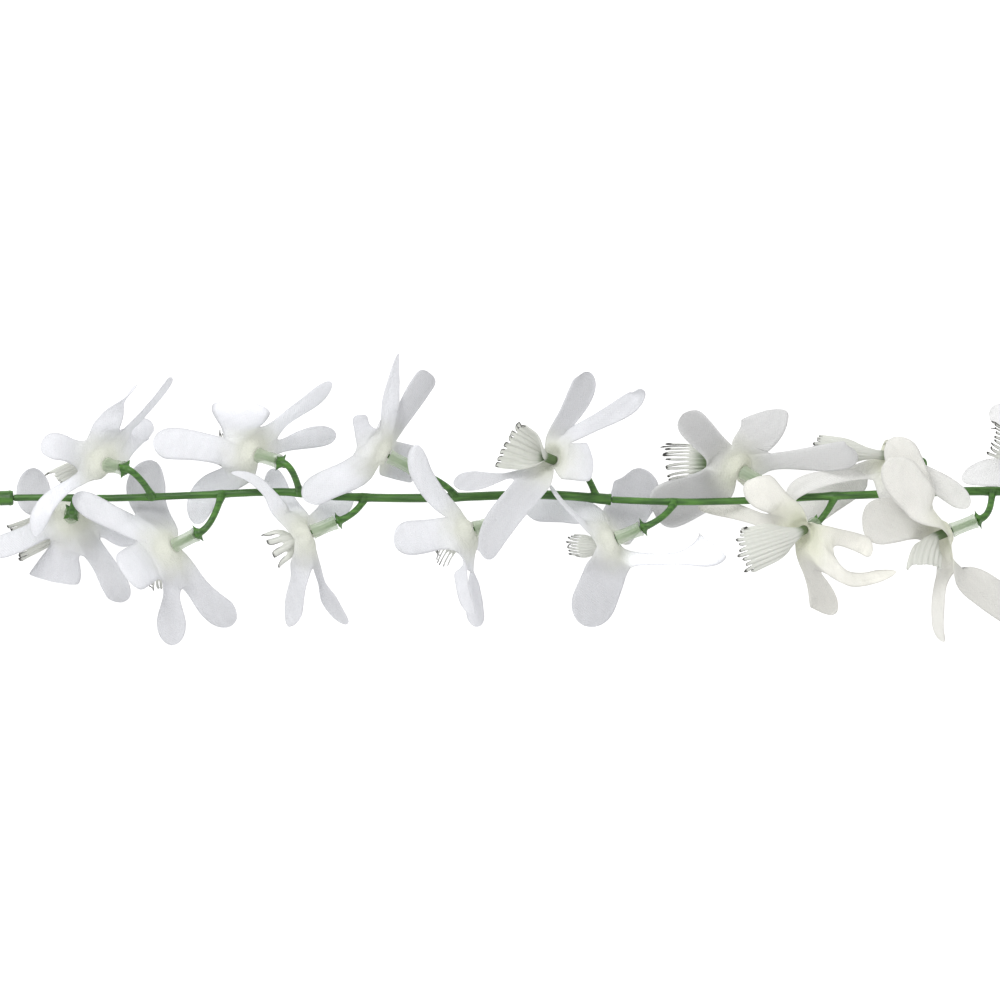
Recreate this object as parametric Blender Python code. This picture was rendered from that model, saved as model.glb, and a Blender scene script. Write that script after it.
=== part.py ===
# Artificial flower garland: moulded stem sprays plugged end to end, each stalk carrying
# a calyx tube, a five-lobed fabric corolla and a fringed lip, laid flat on a table.
import math
from collections import namedtuple

import bpy
from mathutils import Quaternion, Vector

# Driving dimensions, in millimetres
MM = 0.001
TABLE_BELOW_STEM = 24.0
FIT_GAP = 0.3
PEG_RADIUS = 0.75
STALK_RADIUS = 1.05
COLLAR_RADIUS = 1.9
COLLAR_LENGTH = 1.6
SPIKE_REACH = 3.2
CALYX_RADIUS = 2.35
CALYX_WAIST_RADIUS = 2.05
CALYX_LENGTH = 8.2
PETAL_THICKNESS = 0.5
SEAT_RADIUS = 2.3
THROAT_RADIUS = 5.0
THROAT_DEPTH = 1.8
THROAT_RISE = math.radians(25)
EVENNESS = 0.25
LIP_WALL = 0.5
LIP_TUBE_RADIUS = 1.35
LIP_TUBE_LENGTH = 4.0
SPIGOT_RADIUS = 0.8
SPIGOT_LENGTH = 3.8
SOCKET_RADIUS = 1.75
KNOB_RADIUS = 2.4
THIN_RADIUS = 1.1
THICK_RADIUS = 1.5

# Places that follow from them, along a flower's axis
COROLLA_AT = FIT_GAP + CALYX_LENGTH + FIT_GAP + PETAL_THICKNESS / 2
LIP_START = PETAL_THICKNESS / 2 + FIT_GAP
PEG_LENGTH = COROLLA_AT + LIP_START + LIP_TUBE_LENGTH - 0.6
BORE_RADIUS = PEG_RADIUS + FIT_GAP
TABLE_Z = -TABLE_BELOW_STEM

# Fineness of the solids
ROUND_SIDES = 8
BLADE_COLUMNS = 2
BLADE_STEPS = 24
WEB_ROWS = (2, 5)
BLADE_ROWS = (8, 12, 16, 19, 21, 23)
LIP_COLUMNS = 6
LIP_STEPS = 20
LIP_SHEET_ROWS = (4, 6, 9, 14)
LIP_FINGERS = 3
STRAIGHT_UP = Vector((0.0, 0.0, 1.0))

# The garland is laid out in millimetres: x along the stem, y across it on the table, z above
# the stem's line. MIDDLE is the point of that layout that stands at the origin.
MIDDLE = Vector((173.7, 0.12, TABLE_Z))
STEM_LINE = (
    (-8.0, 0.3), (11.0, 0.8), (35.0, 0.6), (64.0, 1.6), (90.0, 2.6), (107.0, 1.2), (134.0, 0.6),
    (173.0, 1.7), (198.0, 0.0), (218.0, -0.6), (238.0, -0.2), (260.0, 1.0), (278.0, 1.7),
    (309.0, 2.8), (333.0, 2.6), (352.0, 1.9),
)
KNOB_END = 4.2
SPRAY_JOINT = 195.6
FLOWERS_ON_FIRST_SPRAY = 8

# A petal: the middle and the tip of its centre line, its greatest width, the angle in degrees
# by which its blade is turned away from facing straight up, its neck's share of that width, how
# squarely it ends, the shares of its length where it is narrowest and broadest, and how far it
# keeps straight on before it bends.
Petal = namedtuple(
    "Petal",
    "middle tip width turned neck squareness waist broad straight",
    defaults=(0.62, 2.3, 0.3, 0.72, 0.45),
)
# A lip: the middle of its fringed edge, its width there, and the same kind of angle.
Lip = namedtuple("Lip", "tip width turned")
# A flower: where along the stem its stalk leaves, the centre of its corolla, its axis, and how
# far its corolla leans from that axis towards straight up, or down where it is negative.
Flower = namedtuple("Flower", "node heart axis lean lip petals")

GARLAND = [
    Flower(24.0, (22.3, -5.2, -8.5), (-0.6, -0.9, -7.6), 0.0, Lip((3.2, -14.2, -14.0), 15.0, 20), [
        Petal((8.2, -11.7, -4.0), (-6.2, -16.4, -5.0), 7.8, 15, 0.9),
        Petal((12.2, -1.8, -14.0), (9.2, 10.5, -26.0), 11.2, 10, 0.8, 3.4),
        Petal((19.2, -17.6, -13.0), (15.6, -26.4, -17.0), 15.6, 0, 0.58, 5.0, broad=0.92),
        Petal((33.0, -21.2, -7.0), (38.8, -32.8, -6.0), 8.8, 10, 0.74),
        Petal((34.5, -10.0, -8.0), (43.8, -12.4, -12.0), 6.8, 20, 0.9),
    ]),
    Flower(48.6, (34.4, 11.3, 2.0), (-5.8, 1.3, -6.8), -0.3, Lip((17.4, 6.4, -1.0), 8.5, 20), [
        Petal((22.6, 16.2, 10.0), (13.9, 15.9, 13.0), 9.0, 15, 0.92),
        Petal((35.4, 24.6, 7.0), (44.2, 36.8, 6.0), 8.6, 8, 1.0, 0.8, broad=0.4),
        Petal((46.4, 28.2, -3.0), (54.6, 39.4, -2.0), 5.6, 70, 1.0),
        Petal((42.4, 19.6, -9.0), (48.4, 22.2, -16.0), 7.4, 10, 0.8, 3.0),
        Petal((19.6, 2.4, 12.5), (11.8, -11.4, 10.0), 6.2, 0, broad=0.8),
    ]),
    Flower(71.0, (55.7, -14.7, 2.0), (-7.4, -3.8, -3.5), -0.6, Lip((49.4, -27.4, -9.0), 8.0, 10), [
        Petal((37.4, -6.2, 3.8), (23.8, 1.6, 3.4), 7.9, 0, 0.92),
        Petal((47.6, -1.6, -8.0), (49.4, 12.2, -15.0), 12.6, 5, 0.78),
        Petal((47.0, -19.6, 11.0), (40.8, -24.0, 18.0), 14.2, 0, 0.95, 5.0),
        Petal((54.8, -31.3, 1.0), (54.7, -46.6, -3.0), 9.6, 10, 0.54, 2.1, waist=0.44, broad=0.79),
        Petal((64.2, -29.8, -4.0), (75.4, -38.3, -8.0), 9.7, 8, 0.72, waist=0.34, broad=0.76),
    ]),
    Flower(96.0, (82.6, 14.4, 3.0), (-7.0, 2.2, -5.1), -0.5, Lip((72.4, 21.8, -6.0), 8.0, 10), [
        Petal((64.2, 17.2, 7.0), (49.4, 17.4, 6.0), 10.4, 12, 0.85, broad=0.78),
        Petal((77.4, 23.6, 11.0), (77.6, 31.6, 15.0), 18.6, 0, 0.62, 3.2, broad=0.8),
        Petal((93.9, 27.2, -1.0), (106.2, 37.6, -2.0), 7.8, 54, 0.78),
        Petal((94.8, 18.8, -6.0), (107.3, 20.2, -10.0), 7.0, 12, 0.6, waist=0.28),
        Petal((69.3, 4.8, -7.0), (63.2, -7.8, -10.0), 9.6, 8, 0.9),
    ]),
    Flower(116.6, (99.5, -10.4, 3.0), (-8.2, -3.4, 0.0), -0.8, Lip((86.6, -16.0, 3.0), 15.0, 10), [
        Petal((86.8, 1.4, 7.0), (74.2, 8.7, 6.0), 3.8, 20, 1.6, broad=0.56, straight=0.65),
        Petal((94.9, -27.2, 2.0), (93.6, -40.3, 2.0), 8.4, 44, 0.85, 2.6),
        Petal((102.9, -26.8, -4.0), (111.2, -39.7, -6.0), 5.2, 16, 0.46, 1.7, waist=0.48, broad=0.7),
        Petal((106.0, -3.2, -8.0), (107.6, 5.2, -16.0), 9.6, 10, 0.8),
        Petal((91.4, -1.0, -8.0), (87.2, 10.2, -14.0), 7.8, 15, 0.9, 2.6),
    ]),
    Flower(145.6, (124.2, 14.1, 7.0), (-8.1, 4.0, 0.0), -0.4, Lip((116.0, 14.4, -8.0), 6.0, 10), [
        Petal((108.9, 6.6, 9.0), (97.9, -0.3, 7.0), 9.6, 8, 1.0, 2.7),
        Petal((117.7, 20.2, 14.0), (115.8, 27.0, 20.0), 5.0, 0, 1.9, 4.0, broad=0.8),
        Petal((125.4, 31.0, 5.0), (127.8, 46.9, 2.0), 8.0, 42, 1.0, 1.4, broad=0.4),
        Petal((130.9, 30.2, -2.0), (137.7, 40.6, -6.0), 7.7, 20, 0.78, 4.5),
        Petal((129.4, 12.0, -7.0), (133.6, 11.2, -16.0), 12.0, 5, 1.0),
    ]),
    Flower(166.5, (151.4, -9.4, 6.0), (-8.5, -3.0, 0.5), -0.7, Lip((141.6, -18.8, -5.0), 8.5, 10), [
        Petal((138.0, 3.8, 12.0), (134.2, 17.4, 14.0), 8.0, 32, 0.92),
        Petal((137.6, -11.3, 14.0), (126.4, -11.6, 19.0), 11.0, 5, 0.9),
        Petal((147.9, -23.4, 12.0), (151.6, -36.2, 14.0), 6.6, 50, 1.1),
        Petal((152.0, -27.0, 2.0), (153.0, -40.6, 0.0), 8.6, 49, 0.56, waist=0.36, broad=0.76),
        Petal((155.4, -12.8, -6.0), (158.0, -15.0, -22.0), 8.4, 5, 1.0, straight=0.2),
    ]),
    Flower(190.8, (177.6, 12.5, 7.0), (-6.7, 2.6, 5.5), 0.3, Lip((162.4, 19.0, 15.0), 23.0, 150), [
        Petal((182.5, 28.0, 3.0), (186.8, 40.9, 0.0), 8.3, 10, 0.72, straight=0.2),
        Petal((193.0, 26.0, -1.0), (204.4, 35.6, -4.0), 7.0, 20, 0.7, 1.4, straight=0.2),
        Petal((184.7, 12.2, 14.0), (189.6, 12.2, 18.0), 12.4, 5, 0.95, 2.4),
        Petal((159.4, 7.1, 9.0), (145.3, 6.2, 9.0), 6.7, 22, 0.28, waist=0.36, broad=0.77),
        Petal((163.2, -3.2, 12.0), (157.0, -18.9, 13.0), 10.2, 5, 1.0, 2.0, broad=0.55, straight=0.35),
    ]),
    Flower(215.6, (197.0, -12.4, 3.0), (-8.2, -3.4, -1.5), -0.5, Lip((183.4, -14.2, -9.0), 8.5, 10), [
        Petal((184.8, -5.2, 7.0), (176.0, 4.8, 5.2), 5.4, 74, 1.3),
        Petal((182.6, -3.0, -7.0), (168.2, -3.6, -14.0), 9.4, 12, 0.9),
        Petal((201.9, -1.6, -12.0), (202.8, 9.8, -20.5), 15.2, 5, 0.9, 2.1),
        Petal((192.2, -27.0, 4.0), (186.8, -40.2, 0.0), 14.2, 5, 0.95, 2.1),
        Petal((213.0, -19.0, -2.0), (228.6, -14.2, -3.0), 12.4, 8, 0.3, 9.0, waist=0.55, broad=0.97),
    ]),
    Flower(247.5, (237.6, 9.2, -4.0), (-6.5, 4.0, -4.0), -0.7, Lip((213.0, 12.4, -13.5), 15.5, 10), [
        Petal((226.2, 19.4, 1.0), (218.5, 27.5, 1.0), 10.0, 8, 0.9, straight=0.3),
        Petal((241.5, 19.4, -2.0), (245.4, 28.8, -2.0), 14.4, 0, 0.76, 4.5, broad=0.85, straight=0.3),
        Petal((256.8, 12.9, 2.0), (272.8, 16.2, 6.5), 9.2, 8, 0.6, broad=0.75, straight=0.05),
        Petal((221.6, 1.2, -9.5), (209.4, -4.0, -11.0), 15.0, 0, 0.85, 2.6),
        Petal((244.6, 1.4, -12.0), (247.0, -4.0, -16.0), 6.0, 0),
    ]),
    Flower(267.0, (257.0, -9.4, 10.0), (-3.5, -1.5, 8.2), 0.0, Lip((237.2, -16.0, 15.0), 18.5, 10), [
        Petal((246.7, 0.2, 17.0), (240.0, 6.8, 20.0), 11.2, 5, 0.7, 2.6),
        Petal((239.6, -5.0, -0.8), (223.4, -2.4, -4.0), 5.2, 0, 0.8),
        Petal((260.3, -25.0, 7.0), (263.4, -36.3, 3.0), 9.0, 6, 0.55, 4.0, waist=0.35, broad=0.84),
        Petal((272.8, -25.4, 4.0), (286.6, -22.8, 2.0), 4.5, 20, 1.05, 1.8, straight=1.1),
        Petal((270.8, -12.4, 8.0), (278.4, -17.0, 11.0), 6.2, 20, 0.92, 3.0),
    ]),
    Flower(293.0, (285.0, 14.0, -3.0), (-7.4, 1.0, 2.5), -0.1, Lip((261.2, 16.8, -6.0), 10.5, 10), [
        Petal((266.6, 7.3, 2.6), (253.4, -1.0, 3.5), 5.8, 5, 0.7, waist=0.38, broad=0.7, straight=0.1),
        Petal((269.6, 3.4, -9.0), (256.6, -6.6, -14.0), 11.2, 10, 0.9),
        Petal((286.6, 17.2, -11.0), (288.8, 16.2, -17.5), 6.2, 10),
        Petal((295.6, 7.6, 4.4), (308.8, -2.8, 4.2), 7.4, 0, 0.85),
        Petal((285.4, 2.8, 3.0), (287.0, -6.4, 2.8), 10.0, 5, 0.9),
    ]),
    Flower(317.6, (303.6, -9.8, 8.0), (-7.6, -3.0, 0.8), 0.0, Lip((295.2, -21.6, 15.0), 13.5, 20), [
        Petal((292.2, 1.4, 15.0), (285.2, 13.6, 18.0), 12.8, 0, 0.95, 2.2),
        Petal((291.7, 6.6, 10.0), (286.6, 20.3, 8.0), 11.6, 5, 0.95, 1.9),
        Petal((289.0, -6.0, 5.4), (275.7, -7.8, 5.0), 14.8, 5, 0.9),
        Petal((300.8, -29.3, 3.0), (302.0, -45.4, 0.0), 7.2, 62, 0.95),
        Petal((315.8, -29.4, 0.0), (331.0, -38.8, -3.0), 11.4, 8, 0.9),
    ]),
    Flower(342.4, (331.2, 14.1, 4.0), (-7.4, 2.6, 4.4), 0.0, Lip((316.4, 20.0, 13.0), 14.0, 20), [
        Petal((319.6, 8.8, 6.5), (307.4, 6.2, 7.0), 9.2, 12, 1.0, 1.6, broad=0.6),
        Petal((324.6, 24.6, 2.0), (316.6, 27.0, 0.0), 8.0, 10, 0.8),
        Petal((341.0, 27.6, -4.0), (348.4, 38.6, -8.0), 9.5, 20, 0.75),
        Petal((341.0, 4.5, -10.0), (353.0, -2.0, -15.0), 10.5, 10, straight=0.1),
        Petal((330.8, 0.0, 10.0), (330.4, -12.8, 13.0), 11.0, 10),
    ]),
]


# Lines and frames

def eased(value):
    """0 up to 0, 1 from 1 on, and a smooth rise between."""
    value = min(max(value, 0.0), 1.0)
    return value * value * (3 - 2 * value)


def between(low, high, share):
    return low + (high - low) * share


def bezier(control, t):
    a, b, c, d = control
    return a * (1 - t) ** 3 + b * 3 * t * (1 - t) ** 2 + c * 3 * t * t * (1 - t) + d * t ** 3


def curve_through(root, direction, middle, tip, straight=0.45):
    """A Bezier curve that leaves the root in a direction and is at the middle half way."""
    leave = root + direction * (middle - root).length * straight
    arrive = (middle * 8 - root - leave * 3 - tip) / 3
    return (root, leave, arrive, tip)


def smooth_line(points, steps):
    """Points along a smooth line through the given ones."""
    line = []
    ends = [points[0], *points, points[-1]]
    for a, b, c, d in zip(ends, ends[1:], ends[2:], ends[3:]):
        control = (b, b + (c - a) / 6, c - (d - b) / 6, c)
        line += [bezier(control, step / steps) for step in range(steps)]
    return line + [points[-1]]


def turn(vector, angle, about):
    return Quaternion(about, angle) @ vector


def squared(side, along):
    """The side direction made square to the line it goes with."""
    return (side - along * side.dot(along)).normalized()


def frames_along(line, side=None):
    """For each point of a line: the point, the line's direction and a side direction that doesn't spin."""
    frames = []
    for index, point in enumerate(line):
        along = (line[min(index + 1, len(line) - 1)] - line[max(index - 1, 0)]).normalized()
        side = squared(side or along.orthogonal(), along)
        frames.append((point, along, side))
    return frames


def above_table(point, clearance):
    """The point, lifted so that what would reach through the table lies along it."""
    softness = 1.5
    height = point.z - TABLE_Z - clearance
    if height < softness:
        height = max(height + softness, 0.0) ** 2 / (4 * softness)
    return Vector((point.x, point.y, TABLE_Z + clearance + height))


# Objects and materials

def plain_material(name, colour, roughness, alpha=1.0):
    material = bpy.data.materials.new(name)
    material.use_nodes = True
    shader = material.node_tree.nodes["Principled BSDF"]
    shader.inputs["Base Color"].default_value = (*colour, 1.0)
    shader.inputs["Roughness"].default_value = roughness
    shader.inputs["Metallic"].default_value = 0.0
    shader.inputs["Alpha"].default_value = alpha
    return material


def piece(name, vertices, faces, material):
    """An object with these vertices, which are in the layout's millimetres."""
    mesh = bpy.data.meshes.new(name)
    mesh.from_pydata([(vertex - MIDDLE) * MM for vertex in vertices], [], faces)
    mesh.materials.append(material)
    mesh.shade_smooth()
    mesh.set_sharp_from_angle(angle=math.radians(50))
    made = bpy.data.objects.new(name, mesh)
    bpy.context.scene.collection.objects.link(made)
    return made


def thicken(made, thickness):
    solid = made.modifiers.new("Wall", "SOLIDIFY")
    solid.thickness = thickness * MM
    solid.offset = 0.0


def join_onto(base, helper):
    """Unites a helper's shape with the base, and keeps the helper itself out of the model."""
    helper.hide_render = True
    helper.display_type = "WIRE"
    union = base.modifiers.new(helper.name, "BOOLEAN")
    union.operation = "UNION"
    union.solver = "EXACT"
    union.object = helper


def ring(frame, outline, sides=ROUND_SIDES):
    """Points round a frame; the outline's radii are taken in turn."""
    point, along, side = frame
    return [
        point + turn(side, corner * math.tau / sides, along) * outline[corner % len(outline)]
        for corner in range(sides)
    ]


def bridge(first, second, count):
    """Quads between two closed rings of vertices."""
    return [
        (first + i, first + (i + 1) % count, second + (i + 1) % count, second + i)
        for i in range(count)
    ]


def capped_body(frames, outlines):
    """Vertices and faces of rings joined in a row, with both ends closed."""
    vertices, faces = [], []
    for frame, outline in zip(frames, outlines):
        if vertices:
            faces += bridge(len(vertices) - ROUND_SIDES, len(vertices), ROUND_SIDES)
        vertices += ring(frame, outline)
    faces.append(tuple(reversed(range(ROUND_SIDES))))
    faces.append(tuple(range(len(vertices) - ROUND_SIDES, len(vertices))))
    return vertices, faces


def sleeve_body(start, along, profile):
    """Vertices and faces of a closed profile of (station, radius) turned round a line."""
    side = along.orthogonal().normalized()
    vertices, faces = [], []
    total = len(profile) * ROUND_SIDES
    for index, (station, radius) in enumerate(profile):
        faces += bridge(index * ROUND_SIDES, (index + 1) * ROUND_SIDES % total, ROUND_SIDES)
        vertices += ring((start + along * station, along, side), (radius,))
    return vertices, faces


# The moulded stem

def stem_points():
    return [Vector((x, y, 0.0)) for x, y in STEM_LINE]


def stem_point(x):
    """The point of the stem's smooth line at a distance along it."""
    line = smooth_line(stem_points(), 12)
    for before, after in zip(line, line[1:]):
        if before.x <= x <= after.x:
            return before.lerp(after, (x - before.x) / (after.x - before.x))
    return line[-1]


def stem_radius(x, start, end):
    """A spray swells from its thin tip to its thick root."""
    return between(THIN_RADIUS, THICK_RADIUS, eased((x - start) / (end - start)))


def stem_run(start, end, spacing=9.0):
    count = max(round((end - start) / spacing), 1)
    return [stem_point(between(start, end, step / count)) for step in range(count + 1)]


def hollow_end(frames, outlines, bore, depth):
    """Turns the last ring into the mouth of a socket."""
    point, along, side = frames[-1]
    frames += [frames[-1], (point - along * depth, along, side)]
    outlines += [(bore,), (bore,)]


def stem_end(material):
    """The root end of the neighbouring spray: a knob with a socket, cut flat at its other end."""
    frames = frames_along(stem_run(STEM_LINE[0][0], KNOB_END, 2.5))
    outlines = [(THICK_RADIUS,), (THICK_RADIUS,), (KNOB_RADIUS - 0.1,), (KNOB_RADIUS,), (KNOB_RADIUS,)]
    outlines += [(KNOB_RADIUS - 0.3,)] * (len(frames) - len(outlines))
    hollow_end(frames, outlines, SPIGOT_RADIUS + FIT_GAP, SPIGOT_LENGTH)
    return piece("stem_end_left", *capped_body(frames, outlines), material)


def stem_spray(name, start, end, flowers, socketed, material):
    """One moulding: main stem with its spigot, and a stalk, collar and peg for each flower."""
    spigot = stem_run(start - SPIGOT_LENGTH + FIT_GAP, start + FIT_GAP, SPIGOT_LENGTH)
    run = spigot + stem_run(start + FIT_GAP + 0.01, end)
    frames = frames_along(run)
    outlines = [(SPIGOT_RADIUS,)] * len(spigot)
    outlines += [(stem_radius(point.x, start, end),) for point in run[len(spigot):]]
    if socketed:
        mouth = stem_run(end - SPIGOT_LENGTH - 1.0, end, SPIGOT_LENGTH)
        frames = frames[:-1] + frames_along(mouth)
        outlines = outlines[:-1] + [(SOCKET_RADIUS,)] * len(mouth)
        hollow_end(frames, outlines, SPIGOT_RADIUS + FIT_GAP, SPIGOT_LENGTH)
    spray = piece(name, *capped_body(frames, outlines), material)
    for number, flower in flowers:
        join_onto(spray, stalk(f"{name}_stalk_{number:02d}", flower, material))
    return spray


def stalk(name, flower, material):
    """A curved stalk from the stem, its collar with four spikes, and the peg beyond it."""
    root = stem_point(flower.node)
    heart, axis = Vector(flower.heart), Vector(flower.axis).normalized()
    face = heart - axis * COROLLA_AT
    back = face - axis * COLLAR_LENGTH
    away = Vector((-0.25, math.copysign(1.0, back.y - root.y), 0.2 * (back.z - root.z))).normalized()
    reach = (back - root).length
    control = (root, root + away * reach * 0.35, back - axis * reach * 0.3, back)
    line = [bezier(control, step / 6) for step in range(6)]
    stations = (0.0, 0.5, 0.95, COLLAR_LENGTH, COLLAR_LENGTH + 0.01, COLLAR_LENGTH + PEG_LENGTH)
    line += [back + axis * station for station in stations]
    outlines = [(STALK_RADIUS * 1.2,)] + [(STALK_RADIUS,)] * 5
    outlines += [
        (STALK_RADIUS * 1.15,),
        (COLLAR_RADIUS - 0.2,),
        (COLLAR_RADIUS, SPIKE_REACH),
        (COLLAR_RADIUS - 0.15,),
        (PEG_RADIUS,),
        (PEG_RADIUS,),
    ]
    return piece(name, *capped_body(frames_along(line), outlines), material)


# The flowers

def calyx_tube(name, flower, material):
    """A waisted sleeve over the peg."""
    axis = Vector(flower.axis).normalized()
    back = Vector(flower.heart) - axis * (COROLLA_AT - FIT_GAP)
    profile = [
        (0.0, BORE_RADIUS),
        (0.0, CALYX_RADIUS - 0.2),
        (CALYX_LENGTH * 0.2, CALYX_RADIUS),
        (CALYX_LENGTH * 0.6, CALYX_WAIST_RADIUS),
        (CALYX_LENGTH, CALYX_RADIUS - 0.1),
        (CALYX_LENGTH, BORE_RADIUS),
    ]
    vertices, faces = sleeve_body(back, axis, profile)
    return piece(name, vertices, faces, material)


def round_the_heart(flower):
    """The corolla's axis and side direction, and its petals in order with the angle of each."""
    axis = (Vector(flower.axis).normalized() + STRAIGHT_UP * flower.lean).normalized()
    across = squared(STRAIGHT_UP if abs(axis.z) < 0.9 else Vector((1.0, 0.0, 0.0)), axis)
    upward = axis.cross(across)
    angles = []
    for petal in flower.petals:
        reach = Vector(petal.middle) - Vector(flower.heart)
        angles.append(math.atan2(reach.dot(upward), reach.dot(across)))
    order = sorted(range(len(angles)), key=lambda index: angles[index])
    step = math.tau / len(order)
    drift = sum(angles[index] - place * step for place, index in enumerate(order)) / len(order)
    lobes = []
    for place, index in enumerate(order):
        angle = between(angles[index], drift + place * step, EVENNESS)
        lobes.append((flower.petals[index], angle))
    return (axis, across), lobes


def blade_width(petal, t):
    """The lobe's width at a share of its length: its neck, its broad end and its round tip."""
    flare = between(petal.neck, 1.0, eased((t - petal.waist) / (petal.broad - petal.waist)))
    past = max((t - petal.broad) / (1 - petal.broad), 0.0)
    return petal.width * flare * math.sqrt(max(1 - past ** petal.squareness, 0.0))


def blade_frames(root, outward, axis, petal):
    """Frames down a petal's centre line, turned so that its broad end shows its stated angle."""
    leaving = outward * math.cos(THROAT_RISE) + axis * math.sin(THROAT_RISE)
    control = curve_through(root, leaving, Vector(petal.middle), Vector(petal.tip), petal.straight)
    line = [bezier(control, step / BLADE_STEPS) for step in range(BLADE_STEPS + 1)]
    frames = frames_along(line, axis.cross(outward))
    _, along, side = frames[BLADE_STEPS * 3 // 4]
    facing = turn(squared(STRAIGHT_UP, along), math.radians(petal.turned), along)
    wanted = along.cross(facing)
    spin = math.atan2(side.cross(wanted).dot(along), side.dot(wanted))
    spin = (spin + math.pi / 2) % math.pi - math.pi / 2
    turned = []
    for step, (point, along, side) in enumerate(frames):
        share = eased(step / BLADE_STEPS / 0.5)
        turned.append((point, along, turn(side, spin * share, along)))
    return turned


def blade_row(petal, blade, step):
    """The points across a lobe at one step of its length."""
    point, _, side = blade[step]
    half = blade_width(petal, step / BLADE_STEPS) / 2
    return [
        point + side * half * (2 * column / BLADE_COLUMNS - 1)
        for column in range(BLADE_COLUMNS + 1)
    ]


def corolla(name, flower, material):
    """The five-lobed blank: a hole and a shallow throat, then a lobe for each petal."""
    heart = Vector(flower.heart)
    peg_axis = Vector(flower.axis).normalized()
    (axis, across), lobes = round_the_heart(flower)
    throat = heart + peg_axis * THROAT_DEPTH
    count = len(lobes) * BLADE_COLUMNS
    angles = []
    for (_, before), (_, angle) in zip([lobes[-1], *lobes], lobes):
        if before > angle:
            before -= math.tau
        angles += [(before + angle) / 2, angle]
    spread = [turn(across, angle, axis) for angle in angles]
    level = [squared(outward, peg_axis) for outward in spread]
    vertices = [heart + outward * BORE_RADIUS for outward in level]
    vertices += [heart + outward * SEAT_RADIUS for outward in level]
    vertices += [throat + outward * THROAT_RADIUS for outward in spread]
    faces = bridge(0, count, count) + bridge(count, 2 * count, count)
    blades = []
    for (petal, _), outward in zip(lobes, spread[1::BLADE_COLUMNS]):
        blades.append(blade_frames(throat + outward * THROAT_RADIUS, outward, axis, petal))
    for step in WEB_ROWS:
        rows = [blade_row(petal, blade, step) for (petal, _), blade in zip(lobes, blades)]
        faces += bridge(len(vertices) - count, len(vertices), count)
        for before, row in zip([rows[-1], *rows], rows):
            vertices += [before[-1].lerp(row[0], 0.5), *row[1:-1]]
    edge = len(vertices) - count
    for place, ((petal, _), blade) in enumerate(zip(lobes, blades)):
        row = [edge + (place * BLADE_COLUMNS + column) % count for column in range(BLADE_COLUMNS + 1)]
        for step in BLADE_ROWS:
            new = list(range(len(vertices), len(vertices) + BLADE_COLUMNS + 1))
            vertices += blade_row(petal, blade, step)
            faces += [(row[i], row[i + 1], new[i + 1], new[i]) for i in range(BLADE_COLUMNS)]
            row = new
        vertices.append(blade[-1][0])
        tip = len(vertices) - 1
        faces += [(row[i], row[i + 1], tip) for i in range(BLADE_COLUMNS)]
    vertices = [above_table(vertex, PETAL_THICKNESS / 2) for vertex in vertices]
    made = piece(name, vertices, faces, material)
    thicken(made, PETAL_THICKNESS)
    return made


def lip_section(frame, opened, width, across):
    """A point across the lip: a closed tube while opened is 0, a shallow trough when it is 1."""
    point, along, side = frame
    half_angle = between(math.pi, math.radians(55), opened)
    radius = width / (2 * half_angle)
    angle = half_angle * across
    back = side.cross(along)
    return (
        point
        + side * radius * math.sin(angle)
        + back * (radius * math.cos(angle) - radius + LIP_TUBE_RADIUS)
    )


def lip(name, flower, material):
    """A short tube that opens into a fringed trough."""
    axis = Vector(flower.axis).normalized()
    start = Vector(flower.heart) + axis * (LIP_START + LIP_TUBE_LENGTH)
    tip = Vector(flower.lip.tip)
    middle = start.lerp(tip, 0.5) + axis * (tip - start).length * 0.12
    control = curve_through(start, axis, middle, tip)
    bend = LIP_SHEET_ROWS[0]
    line = [start + axis * LIP_TUBE_LENGTH * (step / bend - 1) for step in range(bend)]
    line += [bezier(control, step / (LIP_STEPS - bend)) for step in range(LIP_STEPS - bend + 1)]
    facing = turn(squared(STRAIGHT_UP, axis), math.radians(flower.lip.turned), axis)
    frames = frames_along(line, axis.cross(facing))
    tube_width = math.tau * LIP_TUBE_RADIUS

    def section(step, across):
        spread = max(step - bend, 0) / (LIP_STEPS - bend)
        width = between(tube_width, flower.lip.width, spread)
        found = lip_section(frames[step], eased(spread * 2), width, across)
        return above_table(found, LIP_WALL / 2)

    vertices, faces = [], []
    for step in (0, LIP_SHEET_ROWS[0]):
        vertices += [section(step, 2 * column / LIP_COLUMNS - 1) for column in range(LIP_COLUMNS)]
    faces += bridge(0, LIP_COLUMNS, LIP_COLUMNS)
    row = [LIP_COLUMNS + column % LIP_COLUMNS for column in range(LIP_COLUMNS + 1)]
    for step in LIP_SHEET_ROWS[1:]:
        new = list(range(len(vertices), len(vertices) + LIP_COLUMNS + 1))
        vertices += [section(step, 2 * column / LIP_COLUMNS - 1) for column in range(LIP_COLUMNS + 1)]
        faces += [(row[i], row[i + 1], new[i + 1], new[i]) for i in range(LIP_COLUMNS)]
        row = new
    for finger in range(LIP_FINGERS):
        low = 2 * finger / LIP_FINGERS - 1
        high = low + 2 / LIP_FINGERS
        middle_across = (low + high) / 2
        base = row[finger * 2: finger * 2 + 3]
        new = list(range(len(vertices), len(vertices) + 3))
        inset = 0.12
        for across in (low + inset, middle_across, high - inset):
            vertices.append(section(LIP_STEPS - 2, across))
        faces += [(base[i], base[i + 1], new[i + 1], new[i]) for i in range(2)]
        vertices.append(section(LIP_STEPS, middle_across))
        faces += [(new[i], new[i + 1], len(vertices) - 1) for i in range(2)]
    made = piece(name, vertices, faces, material)
    thicken(made, LIP_WALL)
    return made


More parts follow.
